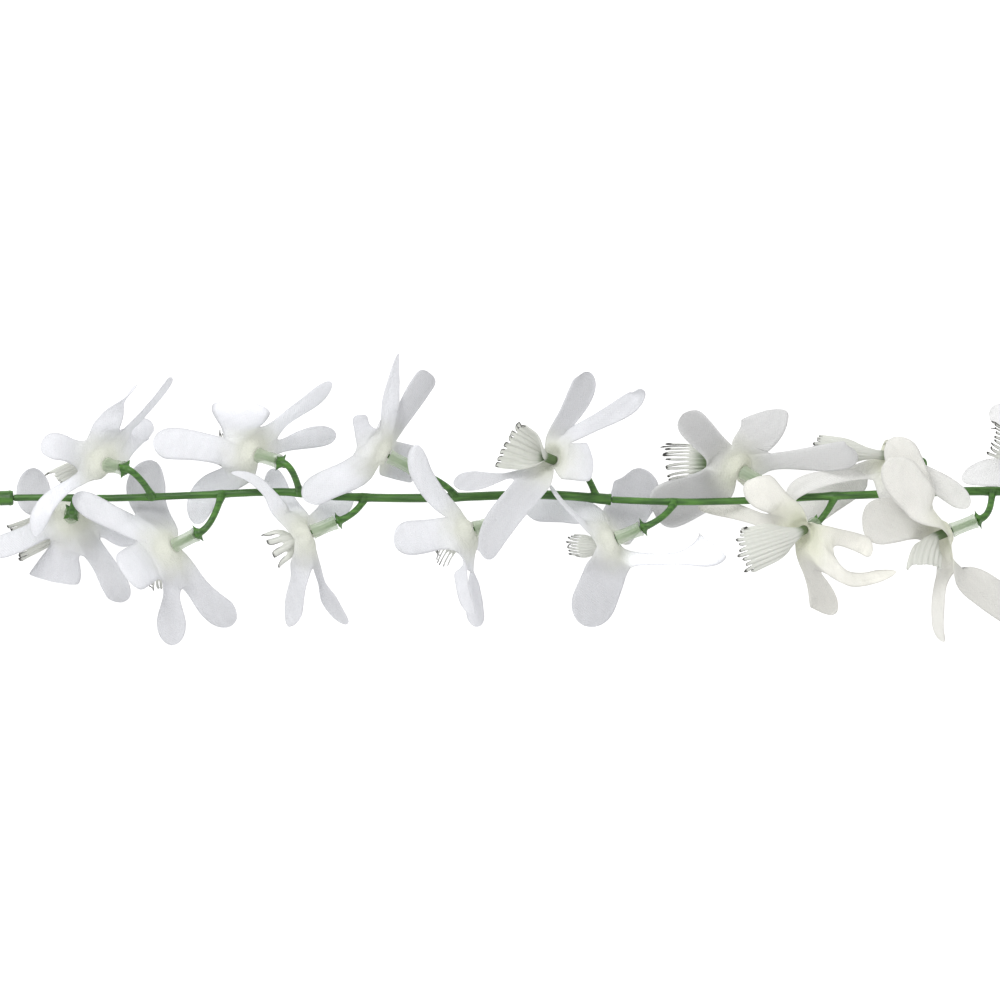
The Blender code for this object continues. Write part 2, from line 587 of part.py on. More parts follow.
def build_garland():
    stem_plastic = plain_material("stem_plastic", (0.07, 0.2, 0.03), 0.4)
    calyx_plastic = plain_material("calyx_plastic", (0.5, 0.62, 0.45), 0.35, 0.8)
    petal_fabric = plain_material("petal_fabric", (0.85, 0.85, 0.88), 0.85)
    lip_plastic = plain_material("lip_plastic", (0.75, 0.76, 0.74), 0.45, 0.85)
    numbered = list(enumerate(GARLAND, start=1))
    stem_end(stem_plastic)
    first, second = numbered[:FLOWERS_ON_FIRST_SPRAY], numbered[FLOWERS_ON_FIRST_SPRAY:]
    stem_spray("stem_spray_1", KNOB_END, SPRAY_JOINT, first, True, stem_plastic)
    stem_spray("stem_spray_2", SPRAY_JOINT, STEM_LINE[-1][0], second, False, stem_plastic)
    for number, flower in numbered:
        calyx_tube(f"calyx_tube_{number:02d}", flower, calyx_plastic)
        corolla(f"corolla_{number:02d}", flower, petal_fabric)
        lip(f"lip_{number:02d}", flower, lip_plastic)


for old in list(bpy.data.objects):
    bpy.data.objects.remove(old, do_unlink=True)
build_garland()
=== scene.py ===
import math
from collections import namedtuple

import bpy
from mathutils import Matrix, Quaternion, Vector, noise


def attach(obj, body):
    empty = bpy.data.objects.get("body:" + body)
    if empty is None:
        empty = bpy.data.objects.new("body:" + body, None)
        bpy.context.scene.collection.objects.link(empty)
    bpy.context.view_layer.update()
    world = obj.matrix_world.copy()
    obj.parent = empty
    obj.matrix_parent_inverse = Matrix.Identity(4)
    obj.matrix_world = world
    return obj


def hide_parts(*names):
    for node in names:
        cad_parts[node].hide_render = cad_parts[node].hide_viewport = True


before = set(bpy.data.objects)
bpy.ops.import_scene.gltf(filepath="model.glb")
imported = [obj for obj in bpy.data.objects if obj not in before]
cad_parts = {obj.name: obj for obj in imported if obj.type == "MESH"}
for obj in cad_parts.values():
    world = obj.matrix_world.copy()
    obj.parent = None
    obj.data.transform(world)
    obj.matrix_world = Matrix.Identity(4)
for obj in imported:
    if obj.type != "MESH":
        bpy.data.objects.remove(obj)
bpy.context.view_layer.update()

# Sizes of the pieces, in millimetres
MM = 0.001
TABLE_BELOW_STEM = 24.0
TABLE_Z = -TABLE_BELOW_STEM
FIT_GAP = 0.3
PEG_RADIUS = 0.75
STALK_RADIUS = 1.05
COLLAR_RADIUS = 1.9
COLLAR_LENGTH = 1.6
SPIKE_REACH = 3.4
CALYX_RADIUS = 2.4
CALYX_LENGTH = 8.2
CALYX_RIBS = 8
CLOTH_THICKNESS = 0.22
SEAT_RADIUS = 2.3
THROAT_RADIUS = 5.0
THROAT_DEPTH = 1.8
THROAT_RISE = math.radians(25)
EVENNESS = 0.25
TIGHT_WEB = 0.15
TIGHTNESS = 0.42
LIP_WALL = 0.3
LIP_TUBE_RADIUS = 1.35
LIP_TUBE_LENGTH = 4.0
SPIGOT_RADIUS = 0.8
SPIGOT_LENGTH = 3.8
SOCKET_RADIUS = 1.75
KNOB_RADIUS = 2.4
THIN_RADIUS = 1.1
THICK_RADIUS = 1.5

# Places along a flower's axis, as in the solids
SOLID_PETAL = 0.5
COROLLA_AT = FIT_GAP + CALYX_LENGTH + FIT_GAP + SOLID_PETAL / 2
LIP_START = SOLID_PETAL / 2 + FIT_GAP
PEG_LENGTH = COROLLA_AT + LIP_START + LIP_TUBE_LENGTH - 0.6
BORE_RADIUS = PEG_RADIUS + FIT_GAP

# How finely the pieces are made
LOBE_COLUMNS = 12
BLADE_STEPS = 44
SHARES = [1 - (1 - step / BLADE_STEPS) ** 1.25 for step in range(BLADE_STEPS + 1)]
VALLEY = 0.16
RIB_COLUMNS = 6
RIB_HEIGHT = 0.3
LIP_STEPS = 40
TUBE_STEPS = 8
STEM_SIDES = 20
STALK_SIDES = 16
STALK_STEPS = 22
STRAIGHT_UP = Vector((0.0, 0.0, 1.0))

# The garland is laid out in millimetres: x along the stem, y across it on the table, z above
# the stem's line. MIDDLE is the point of that layout that stands at the origin.
MIDDLE = Vector((173.7, 0.12, TABLE_Z))
STEM_LINE = (
    (-8.0, 0.3), (11.0, 0.8), (35.0, 0.6), (64.0, 1.6), (90.0, 2.6), (107.0, 1.2), (134.0, 0.6),
    (173.0, 1.7), (198.0, 0.0), (218.0, -0.6), (238.0, -0.2), (260.0, 1.0), (278.0, 1.7),
    (309.0, 2.8), (333.0, 2.6), (352.0, 1.9),
)
KNOB_END = 4.2
SPRAY_JOINT = 195.6
FLOWERS_ON_FIRST_SPRAY = 8

# A petal: the middle and the tip of its centre line, its greatest width, the angle in degrees
# by which its blade is turned away from facing straight up, its neck's share of that width, how
# squarely it ends, the shares of its length where it is narrowest and broadest, how many degrees
# more its tip is twisted, how far it keeps straight on before it bends, how far its end slants
# forward on the right as seen from above, how far its edges rise to the front as a share of its
# half width, how far its tip curls to the front, how wavy its edges are, and its painted lighting:
# a factor on its colour, painted shade where under 1 and painted light where over 1.
Petal = namedtuple(
    "Petal",
    "middle tip width turned neck squareness waist broad twist straight slant cup curl wave tone",
    defaults=(0.62, 2.3, 0.3, 0.72, 0.0, 0.45, 0.0, 0.14, 0.0, 0.3, 1.0),
)
# A lip: the middle of its fringed edge, its width there, the same kind of angle, its number of
# ribs, the share of its length where they part, the share of its pitch that a parted rib keeps,
# how dark the ends are, and the share of its length that is green.
Lip = namedtuple(
    "Lip", "tip width turned ribs parting slimness grey green", defaults=(11, 0.6, 0.5, 1.0, 0.22),
)
# A flower: where along the stem its stalk leaves, the centre of its corolla, its axis, how far
# its corolla leans from that axis towards straight up, or down where it is negative, how warm its
# white is, and where neighbouring petals part, as a share of their length, where that is unusual.
Flower = namedtuple("Flower", "node heart axis lean lip petals warmth webs", defaults=(0.0, {}))
USUAL_WEB = 0.27

GARLAND = [
    Flower(24.0, (22.3, -5.2, -8.5), (-0.6, -0.9, -7.6), 0.0, Lip((3.2, -14.2, -14.0), 15.0, 20, 8, 0.72, 0.75, 1.4), [
        Petal((8.2, -11.7, -4.0), (-6.2, -16.4, -5.0), 7.8, 15, 0.9),
        Petal((12.2, -1.8, -14.0), (9.2, 10.5, -26.0), 11.2, 10, 0.8, 3.4, tone=0.75),
        Petal((19.2, -17.6, -13.0), (15.6, -26.4, -17.0), 15.6, 0, 0.58, 5.0, broad=0.92, slant=0.35, tone=0.95),
        Petal((33.0, -21.2, -7.0), (38.8, -32.8, -6.0), 8.8, 10, 0.74, tone=0.8),
        Petal((34.5, -10.0, -8.0), (43.8, -12.4, -12.0), 6.8, 20, 0.9),
    ], webs={(1, 2): 0.2, (1, 3): 0.3, (3, 4): 0.4, (4, 5): 0.33, (2, 5): 0.0}),
    Flower(48.6, (34.4, 11.3, 2.0), (-5.8, 1.3, -6.8), -0.3,
           Lip((17.4, 6.4, -1.0), 8.5, 20, 7, 0.8, 0.8, 0.9), [
        Petal((22.6, 16.2, 10.0), (13.9, 15.9, 13.0), 9.0, 15, 0.92),
        Petal((35.4, 24.6, 7.0), (44.2, 36.8, 6.0), 8.6, 8, 1.0, 0.8, broad=0.4, twist=110, wave=0.1),
        Petal((46.4, 28.2, -3.0), (54.6, 39.4, -2.0), 5.6, 70, 1.0, cup=0.04, wave=0.1),
        Petal((42.4, 19.6, -9.0), (48.4, 22.2, -16.0), 7.4, 10, 0.8, 3.0),
        Petal((19.6, 2.4, 12.5), (11.8, -11.4, 10.0), 6.2, 0, 0.62, broad=0.8, tone=1.1),
    ], webs={(1, 2): 0.27, (2, 3): 0.36, (3, 4): 0.42, (4, 5): 0.0, (1, 5): 0.22}),
    Flower(71.0, (55.7, -14.7, 2.0), (-7.4, -3.8, -3.5), -0.6, Lip((49.4, -27.4, -9.0), 8.0, 10, 7, grey=1.9), [
        Petal((37.4, -6.2, 3.8), (23.8, 1.6, 3.4), 7.9, 0, 0.92),
        Petal((47.6, -1.6, -8.0), (49.4, 12.2, -15.0), 12.6, 5, 0.78, tone=0.72),
        Petal((47.0, -19.6, 11.0), (40.8, -24.0, 18.0), 14.2, 0, 0.95, 5.0),
        Petal((54.8, -31.3, 1.0), (54.7, -46.6, -3.0), 9.6, 10, 0.54, 2.1, waist=0.44, broad=0.79, tone=0.88),
        Petal((64.2, -29.8, -4.0), (75.4, -38.3, -8.0), 9.7, 8, 0.72, waist=0.34, broad=0.76, tone=0.85),
    ], webs={(1, 2): 0.42, (2, 5): 0.0, (4, 5): 0.4, (3, 4): 0.33, (1, 3): 0.28}),
    Flower(96.0, (82.6, 14.4, 3.0), (-7.0, 2.2, -5.1), -0.5, Lip((72.4, 21.8, -6.0), 8.0, 10, 7, grey=2.0), [
        Petal((64.2, 17.2, 7.0), (49.4, 17.4, 6.0), 10.4, 12, 0.85, broad=0.78),
        Petal((77.4, 23.6, 11.0), (77.6, 31.6, 15.0), 18.6, 0, 0.62, 3.2, broad=0.8, slant=-0.1, tone=1.12),
        Petal((93.9, 27.2, -1.0), (106.2, 37.6, -2.0), 7.8, 54, 0.78, tone=1.08),
        Petal((94.8, 18.8, -6.0), (107.3, 20.2, -10.0), 7.0, 12, 0.6, waist=0.28, tone=0.92),
        Petal((69.3, 4.8, -7.0), (63.2, -7.8, -10.0), 9.6, 8, 0.9),
    ], webs={(1, 2): 0.3, (2, 3): 0.22, (3, 4): 0.27, (4, 5): 0.0, (1, 5): 0.3}),
    Flower(116.6, (99.5, -10.4, 3.0), (-8.2, -3.4, 0.0), -0.8,
           Lip((86.6, -16.0, 3.0), 15.0, 10, 4, 0.4, 0.6, 1.2), [
        Petal((86.8, 1.4, 7.0), (74.2, 8.7, 6.0), 3.8, 20, 1.6, waist=0.3, broad=0.56, straight=0.65, cup=0.05),
        Petal((94.9, -27.2, 2.0), (93.6, -40.3, 2.0), 8.4, 44, 0.85, 2.6, tone=0.9),
        Petal((102.9, -26.8, -4.0), (111.2, -39.7, -6.0), 5.2, 16, 0.46, 1.7, waist=0.48, broad=0.7, tone=0.82),
        Petal((106.0, -3.2, -8.0), (107.6, 5.2, -16.0), 9.6, 10, 0.8),
        Petal((91.4, -1.0, -8.0), (87.2, 10.2, -14.0), 7.8, 15, 0.9, 2.6),
    ], webs={(1, 2): 0.06, (2, 3): 0.3, (3, 4): 0.0, (4, 5): 0.0, (1, 5): 0.2}),
    Flower(145.6, (124.2, 14.1, 7.0), (-8.1, 4.0, 0.0), -0.4, Lip((116.0, 14.4, -8.0), 6.0, 10, 7), [
        Petal((108.9, 6.6, 9.0), (97.9, -0.3, 7.0), 9.6, 8, 1.0, 2.7),
        Petal((117.7, 20.2, 14.0), (115.8, 27.0, 20.0), 5.0, 0, 1.9, 4.0, waist=0.3, broad=0.8),
        Petal((125.4, 31.0, 5.0), (127.8, 46.9, 2.0), 8.0, 42, 1.0, 1.4, broad=0.4, twist=24),
        Petal((130.9, 30.2, -2.0), (137.7, 40.6, -6.0), 7.7, 20, 0.78, 4.5, tone=0.75),
        Petal((129.4, 12.0, -7.0), (133.6, 11.2, -16.0), 12.0, 5, 1.0, tone=0.82),
    ], webs={(1, 2): 0.36, (2, 3): 0.43, (3, 4): 0.42, (4, 5): 0.12, (1, 5): 0.0}),
    Flower(166.5, (151.4, -9.4, 6.0), (-8.5, -3.0, 0.5), -0.7,
           Lip((141.6, -18.8, -5.0), 8.5, 10, 8, 0.4, 0.25, 1.8), [
        Petal((138.0, 3.8, 12.0), (134.2, 17.4, 14.0), 8.0, 32, 0.92),
        Petal((137.6, -11.3, 14.0), (126.4, -11.6, 19.0), 11.0, 5, 0.9),
        Petal((147.9, -23.4, 12.0), (151.6, -36.2, 14.0), 6.6, 50, 1.1),
        Petal((152.0, -27.0, 2.0), (153.0, -40.6, 0.0), 8.6, 49, 0.56, waist=0.36, broad=0.76),
        Petal((155.4, -12.8, -6.0), (158.0, -15.0, -22.0), 8.4, 5, 1.0, straight=0.2),
    ], webs={(1, 2): 0.19, (2, 3): 0.3, (3, 4): 0.38, (4, 5): 0.2, (1, 5): 0.0}),
    Flower(190.8, (177.6, 12.5, 7.0), (-6.7, 2.6, 5.5), 0.3,
           Lip((162.4, 19.0, 15.0), 23.0, 150, 9, 0.72, 0.7, 1.2), [
        Petal((182.5, 28.0, 3.0), (186.8, 40.9, 0.0), 8.3, 10, 0.72, straight=0.2, tone=0.72),
        Petal((193.0, 26.0, -1.0), (204.4, 35.6, -4.0), 7.0, 20, 0.7, 1.4, straight=0.2, cup=0.05),
        Petal((184.7, 12.2, 14.0), (189.6, 12.2, 18.0), 12.4, 5, 0.95, 2.4),
        Petal((159.4, 7.1, 9.0), (145.3, 6.2, 9.0), 6.7, 22, 0.28, waist=0.36, broad=0.77, tone=0.86),
        Petal((163.2, -3.2, 12.0), (157.0, -18.9, 13.0), 10.2, 5, 1.0, 2.0, broad=0.55, straight=0.35, tone=0.84),
    ], webs={(1, 2): 0.2, (2, 3): 0.2, (3, 5): 0.0, (4, 5): 0.33, (1, 4): 0.0}),
    Flower(215.6, (197.0, -12.4, 3.0), (-8.2, -3.4, -1.5), -0.5,
           Lip((183.4, -14.2, -9.0), 8.5, 10, 9, 0.5, 0.5, 2.4), [
        Petal((184.8, -5.2, 7.0), (176.0, 4.8, 5.2), 5.4, 74, 1.3),
        Petal((182.6, -3.0, -7.0), (168.2, -3.6, -14.0), 9.4, 12, 0.9),
        Petal((201.9, -1.6, -12.0), (202.8, 9.8, -20.5), 15.2, 5, 0.9, 2.1, wave=0.15, tone=0.74),
        Petal((192.2, -27.0, 4.0), (186.8, -40.2, 0.0), 14.2, 5, 0.95, 2.1, tone=0.8),
        Petal((213.0, -19.0, -2.0), (228.6, -14.2, -3.0), 12.4, 8, 0.3, 9.0, waist=0.55, broad=0.97, tone=1.25),
    ], webs={(1, 2): 0.34, (2, 3): 0.04, (3, 5): 0.0, (4, 5): 0.25, (1, 4): 0.1}),
    Flower(247.5, (237.6, 9.2, -4.0), (-6.5, 4.0, -4.0), -0.7,
           Lip((213.0, 12.4, -13.5), 15.5, 10, 10, 0.5, 0.45, 2.2, 0.5), [
        Petal((226.2, 19.4, 1.0), (218.5, 27.5, 1.0), 10.0, 8, 0.9, straight=0.3, tone=0.68),
        Petal((241.5, 19.4, -2.0), (245.4, 28.8, -2.0), 14.4, 0, 0.76, 4.5, straight=0.3, broad=0.85, slant=0.3, tone=0.85),
        Petal((256.8, 12.9, 2.0), (272.8, 16.2, 6.5), 9.2, 8, 0.6, broad=0.75, straight=0.05, tone=0.82),
        Petal((221.6, 1.2, -9.5), (209.4, -4.0, -11.0), 15.0, 0, 0.85, 2.6, tone=0.62),
        Petal((244.6, 1.4, -12.0), (247.0, -4.0, -16.0), 6.0, 0),
    ], 0.3, {(1, 2): 0.14, (2, 3): 0.38, (1, 4): 0.27, (4, 5): 0.0}),
    Flower(267.0, (257.0, -9.4, 10.0), (-3.5, -1.5, 8.2), 0.0,
           Lip((237.2, -16.0, 15.0), 18.5, 10, 11, 0.78, 0.6, 1.6), [
        Petal((246.7, 0.2, 17.0), (240.0, 6.8, 20.0), 11.2, 5, 0.7, 2.6, tone=1.08),
        Petal((239.6, -5.0, -0.8), (223.4, -2.4, -4.0), 5.2, 0, 0.8),
        Petal((260.3, -25.0, 7.0), (263.4, -36.3, 3.0), 9.0, 6, 0.55, 4.0, waist=0.35, broad=0.84, slant=-0.1, tone=0.82),
        Petal((272.8, -25.4, 4.0), (286.6, -22.8, 2.0), 4.5, 20, 1.05, 1.8, straight=1.1, tone=1.15),
        Petal((270.8, -12.4, 8.0), (278.4, -17.0, 11.0), 6.2, 20, 0.92, 3.0, tone=1.08),
    ], 0.8, {(1, 2): 0.38, (2, 3): 0.0, (3, 4): 0.38, (4, 5): 0.3, (1, 5): 0.0}),
    Flower(293.0, (285.0, 14.0, -3.0), (-7.4, 1.0, 2.5), -0.1,
           Lip((261.2, 16.8, -6.0), 10.5, 10, 9, 0.75, 0.8, 2.2, 0.1), [
        Petal((266.6, 7.3, 2.6), (253.4, -1.0, 3.5), 5.8, 5, 0.7, waist=0.38, broad=0.7, straight=0.1),
        Petal((269.6, 3.4, -9.0), (256.6, -6.6, -14.0), 11.2, 10, 0.9),
        Petal((286.6, 17.2, -11.0), (288.8, 16.2, -17.5), 6.2, 10),
        Petal((295.6, 7.6, 4.4), (308.8, -2.8, 4.2), 7.4, 0, 0.85),
        Petal((285.4, 2.8, 3.0), (287.0, -6.4, 2.8), 10.0, 5, 0.9),
    ], 0.5, {(2, 3): 0.0, (3, 4): 0.1}),
    Flower(317.6, (303.6, -9.8, 8.0), (-7.6, -3.0, 0.8), 0.0,
           Lip((295.2, -21.6, 15.0), 13.5, 20, 7, 0.85, 0.95, 0.3), [
        Petal((292.2, 1.4, 15.0), (285.2, 13.6, 18.0), 12.8, 0, 0.95, 2.2),
        Petal((291.7, 6.6, 10.0), (286.6, 20.3, 8.0), 11.6, 5, 0.95, 1.9),
        Petal((289.0, -6.0, 5.4), (275.7, -7.8, 5.0), 14.8, 5, 0.9, tone=0.88),
        Petal((300.8, -29.3, 3.0), (302.0, -45.4, 0.0), 7.2, 62, 0.95),
        Petal((315.8, -29.4, 0.0), (331.0, -38.8, -3.0), 11.4, 8, 0.9, tone=0.9),
    ], 0.7, {(4, 5): 0.32, (1, 5): 0.0, (2, 5): 0.0}),
    Flower(342.4, (331.2, 14.1, 4.0), (-7.4, 2.6, 4.4), 0.0, Lip((316.4, 20.0, 13.0), 14.0, 20, 9, 0.6, 0.5, 2.4), [
        Petal((319.6, 8.8, 6.5), (307.4, 6.2, 7.0), 9.2, 12, 1.0, 1.6, broad=0.6),
        Petal((324.6, 24.6, 2.0), (316.6, 27.0, 0.0), 8.0, 10, 0.8),
        Petal((341.0, 27.6, -4.0), (348.4, 38.6, -8.0), 9.5, 20, 0.75),
        Petal((341.0, 4.5, -10.0), (353.0, -2.0, -15.0), 10.5, 10, straight=0.1),
        Petal((330.8, 0.0, 10.0), (330.4, -12.8, 13.0), 11.0, 10),
    ], 0.3),
]


# Lines and frames

def eased(value):
    """0 up to 0, 1 from 1 on, and a smooth rise between."""
    value = min(max(value, 0.0), 1.0)
    return value * value * (3 - 2 * value)


def between(low, high, share):
    return low + (high - low) * share


def bezier(control, t):
    a, b, c, d = control
    return a * (1 - t) ** 3 + b * 3 * t * (1 - t) ** 2 + c * 3 * t * t * (1 - t) + d * t ** 3


def curve_through(root, direction, middle, tip, straight=0.45):
    """A Bezier curve that leaves the root in a direction and is at the middle half way."""
    leave = root + direction * (middle - root).length * straight
    arrive = (middle * 8 - root - leave * 3 - tip) / 3
    return (root, leave, arrive, tip)


def smooth_line(points, steps):
    """Points along a smooth line through the given ones."""
    line = []
    ends = [points[0], *points, points[-1]]
    for a, b, c, d in zip(ends, ends[1:], ends[2:], ends[3:]):
        control = (b, b + (c - a) / 6, c - (d - b) / 6, c)
        line += [bezier(control, step / steps) for step in range(steps)]
    return line + [points[-1]]


def turn(vector, angle, about):
    return Quaternion(about, angle) @ vector


def squared(side, along):
    """The side direction made square to the line it goes with."""
    return (side - along * side.dot(along)).normalized()


def frames_along(line, side=None):
    """For each point of a line: the point, the line's direction and a side direction that doesn't spin."""
    frames = []
    for index, point in enumerate(line):
        along = (line[min(index + 1, len(line) - 1)] - line[max(index - 1, 0)]).normalized()
        side = squared(side or along.orthogonal(), along)
        frames.append((point, along, side))
    return frames


def above_table(point, clearance):
    """The point, lifted so that what would reach through the table lies along it."""
    softness = 1.5
    height = point.z - TABLE_Z - clearance
    if height < softness:
        height = max(height + softness, 0.0) ** 2 / (4 * softness)
    return Vector((point.x, point.y, TABLE_Z + clearance + height))


def unevenness(place, scale, seed):
    """A smooth random number from -1 to 1 that belongs to a place."""
    return noise.noise(Vector(place) / scale + Vector((seed * 7.31, seed * 3.17, seed * 1.73)))


# Shader maths

class Value:
    """A number that a node gives out, so that sums on it read as plain arithmetic."""

    def __init__(self, finish, socket):
        self.finish = finish
        self.socket = socket

    def maths(self, operation, *numbers):
        inputs = dict(enumerate(numbers))
        return self.finish.value("ShaderNodeMath", {"operation": operation}, inputs)

    def __add__(self, other):
        return self.maths("ADD", self, other)

    def __radd__(self, other):
        return self.maths("ADD", other, self)

    def __sub__(self, other):
        return self.maths("SUBTRACT", self, other)

    def __rsub__(self, other):
        return self.maths("SUBTRACT", other, self)

    def __mul__(self, other):
        return self.maths("MULTIPLY", self, other)

    def __rmul__(self, other):
        return self.maths("MULTIPLY", other, self)

    def __pow__(self, other):
        return self.maths("POWER", self, other)

    def wave(self, length):
        """A sine of this value, with a given wave length."""
        turned = self * (math.tau / length)
        return turned.maths("SINE", turned)

    def rise(self, low, high):
        """0 where this value is under low, 1 where it is over high, and smooth between."""
        settings = {"interpolation_type": "SMOOTHSTEP"}
        inputs = {"Value": self, "From Min": low, "From Max": high}
        return self.finish.value("ShaderNodeMapRange", settings, inputs)


class Finish:
    """A material put together node by node."""

    def __init__(self, name):
        self.material = bpy.data.materials.new(name)
        self.material.use_nodes = True
        self.tree = self.material.node_tree
        self.tree.nodes.clear()

    def node(self, kind, settings=None, inputs=None):
        """A new node, with its settings made first and then its sockets set or linked."""
        made = self.tree.nodes.new(kind)
        for name, setting in (settings or {}).items():
            setattr(made, name, setting)
        by_identifier = {socket.identifier: socket for socket in made.inputs}
        for key, given in (inputs or {}).items():
            socket = by_identifier.get(key) or made.inputs[key]
            if isinstance(given, Value):
                given = given.socket
            if isinstance(given, bpy.types.NodeSocket):
                self.tree.links.new(given, socket)
            else:
                socket.default_value = given
        return made

    def value(self, kind, settings=None, inputs=None):
        return Value(self, self.node(kind, settings, inputs).outputs[0])

    def map(self, name):
        """The piece's own flat coordinates: on its cloth in millimetres, or along its length."""
        return self.node("ShaderNodeUVMap", {"uv_map": name}).outputs["UV"]

    def own(self, name):
        """A number that the piece's mesh carries."""
        return Value(self, self.node("ShaderNodeAttribute", {"attribute_name": name}).outputs["Fac"])

    def parts(self, vector):
        """The first two numbers of a vector."""
        split = self.node("ShaderNodeSeparateXYZ", None, {"Vector": vector})
        return Value(self, split.outputs["X"]), Value(self, split.outputs["Y"])

    def stretched(self, vector, amounts):
        settings = {"operation": "MULTIPLY"}
        return self.node("ShaderNodeVectorMath", settings, {0: vector, 1: amounts}).outputs["Vector"]

    def length(self, vector):
        made = self.node("ShaderNodeVectorMath", {"operation": "LENGTH"}, {0: vector})
        return Value(self, made.outputs["Value"])

    def clouds(self, vector, scale, detail=2.0):
        """Soft random patches, about 0.5 on average."""
        return self.value("ShaderNodeTexNoise", None, {"Vector": vector, "Scale": scale, "Detail": detail})

    def mixed(self, first, second, share, how="MIX"):
        """Two colours mixed; each is a colour or a socket."""
        settings = {"data_type": "RGBA", "blend_type": how}
        inputs = {"Factor_Float": share, "A_Color": self.colour(first), "B_Color": self.colour(second)}
        made = self.node("ShaderNodeMix", settings, inputs)
        return next(socket for socket in made.outputs if socket.identifier == "Result_Color")

    @staticmethod
    def colour(given):
        return (*given, 1.0) if isinstance(given, tuple) else given

    def dimmed(self, colour, brightness):
        """A colour times a value."""
        return self.mixed(colour, brightness, 1.0, "MULTIPLY")

    def bump(self, height, depth, strength=1.0):
        inputs = {"Height": height, "Distance": depth * MM, "Strength": strength}
        return self.node("ShaderNodeBump", None, inputs).outputs["Normal"]

    def skin(self, inputs):
        return self.node("ShaderNodeBsdfPrincipled", None, inputs).outputs["BSDF"]

    def glow(self, colour, normal):
        """Light that passes through a thin sheet."""
        return self.node("ShaderNodeBsdfTranslucent", None, {"Color": colour, "Normal": normal}).outputs["BSDF"]

    def done(self, skin, glow=None, share=0.0):
        if glow is not None:
            skin = self.node("ShaderNodeMixShader", None, {0: share, 1: skin, 2: glow}).outputs["Shader"]
        self.node("ShaderNodeOutputMaterial", None, {"Surface": skin})
        return self.material


# The finishes

CLOTH = "cloth"
ALONG = "along"
PAINTED_LIGHTING = "tone"
DARKNESS = "darkness"
GREENNESS = "greenness"
THREAD = 0.42


def petal_cloth(name, warmth):
    """Stiffened white cloth: a fine weave, faint clouds, a green cream at the heart, painted fold shade along its
    creases, and each petal's painted lighting.
    """
    finish = Finish(name)
    cloth = finish.map(CLOTH)
    reach = finish.length(cloth)
    drift = finish.clouds(cloth, 0.35, 1.0)
    across, down = finish.parts(cloth)
    weave = (across + drift * 0.9).wave(THREAD * 2) * (down + drift * 0.9).wave(THREAD * 2)
    grain = finish.clouds(cloth, 1.9, 3.0)
    clouds = finish.clouds(cloth, 0.16, 2.0)
    creases_with_fold_shade = finish.clouds(finish.stretched(cloth, (0.5, 0.12, 1.0)), 1.0, 2.0)
    white = (between(0.815, 0.83, warmth), between(0.82, 0.82, warmth), between(0.845, 0.765, warmth))
    cream = (0.76, 0.77, between(0.69, 0.63, warmth))
    colour = finish.mixed(cream, white, (reach + clouds * 6).rise(4.0, 19.0))
    # Painted fold shade: the crease pattern that bumps the cloth also lightens and darkens its colour along the
    # creases.
    colour = finish.dimmed(colour, 0.89 + grain * 0.12 + clouds * 0.08 + creases_with_fold_shade * 0.1 + weave * 0.015)
    # Painted light and shade: each petal's factor darkens or brightens the cloth's colour.
    colour = finish.dimmed(colour, finish.own(PAINTED_LIGHTING))
    normal = finish.bump(weave * 0.35 + grain * 1.2 + creases_with_fold_shade * 2.5, 0.12)
    skin = finish.skin({
        "Base Color": colour,
        "Roughness": 0.72 + grain * 0.2,
        "Sheen Weight": 0.12,
        "Sheen Roughness": 0.5,
        "Specular IOR Level": 0.25,
        "Normal": normal,
    })
    return finish.done(skin, finish.glow(colour, normal), 0.3)


def lip_plastic(name):
    """Milky plastic: green in the throat, cream on the ribs and dark at the hair-like ends."""
    finish = Finish(name)
    along = finish.map(ALONG)
    _, down = finish.parts(along)
    streaks = finish.clouds(finish.stretched(along, (26.0, 1.6, 1.0)), 1.0, 2.0)
    flecks = finish.clouds(finish.stretched(along, (60.0, 14.0, 1.0)), 1.0, 2.0)
    green, cream, grey = (0.16, 0.25, 0.1), (0.79, 0.8, 0.755), (0.07, 0.068, 0.062)
    from_green = (down - finish.own(GREENNESS) + streaks * 0.1).rise(-0.02, 0.16)
    colour = finish.mixed(green, cream, from_green)
    colour = finish.dimmed(colour, 0.86 + streaks * 0.2)
    ends = (finish.own(DARKNESS) * (0.5 + flecks)).rise(0.3, 1.3)
    colour = finish.mixed(colour, grey, ends)
    normal = finish.bump(streaks, 0.25)
    skin = finish.skin({
        "Base Color": colour,
        "Roughness": 0.3 + flecks * 0.25,
        "Coat Weight": 0.15,
        "Normal": normal,
    })
    return finish.done(skin, finish.glow(colour, normal), 0.35)


def calyx_plastic(name):
    """Clear green plastic, a little milky, with faint flow lines."""
    finish = Finish(name)
    along = finish.map(ALONG)
    _, down = finish.parts(along)
    flow = finish.clouds(finish.stretched(along, (18.0, 1.5, 1.0)), 1.0, 2.0)
    colour = finish.mixed((0.33, 0.44, 0.27), (0.53, 0.61, 0.46), down.rise(0.0, 1.0) * 0.6 + flow * 0.4)
    skin = finish.skin({
        "Base Color": colour,
        "Roughness": 0.22 + flow * 0.2,
        "Alpha": 0.34 + flow * 0.24,
        "Normal": finish.bump(flow, 0.15),
    })
    return finish.done(skin)


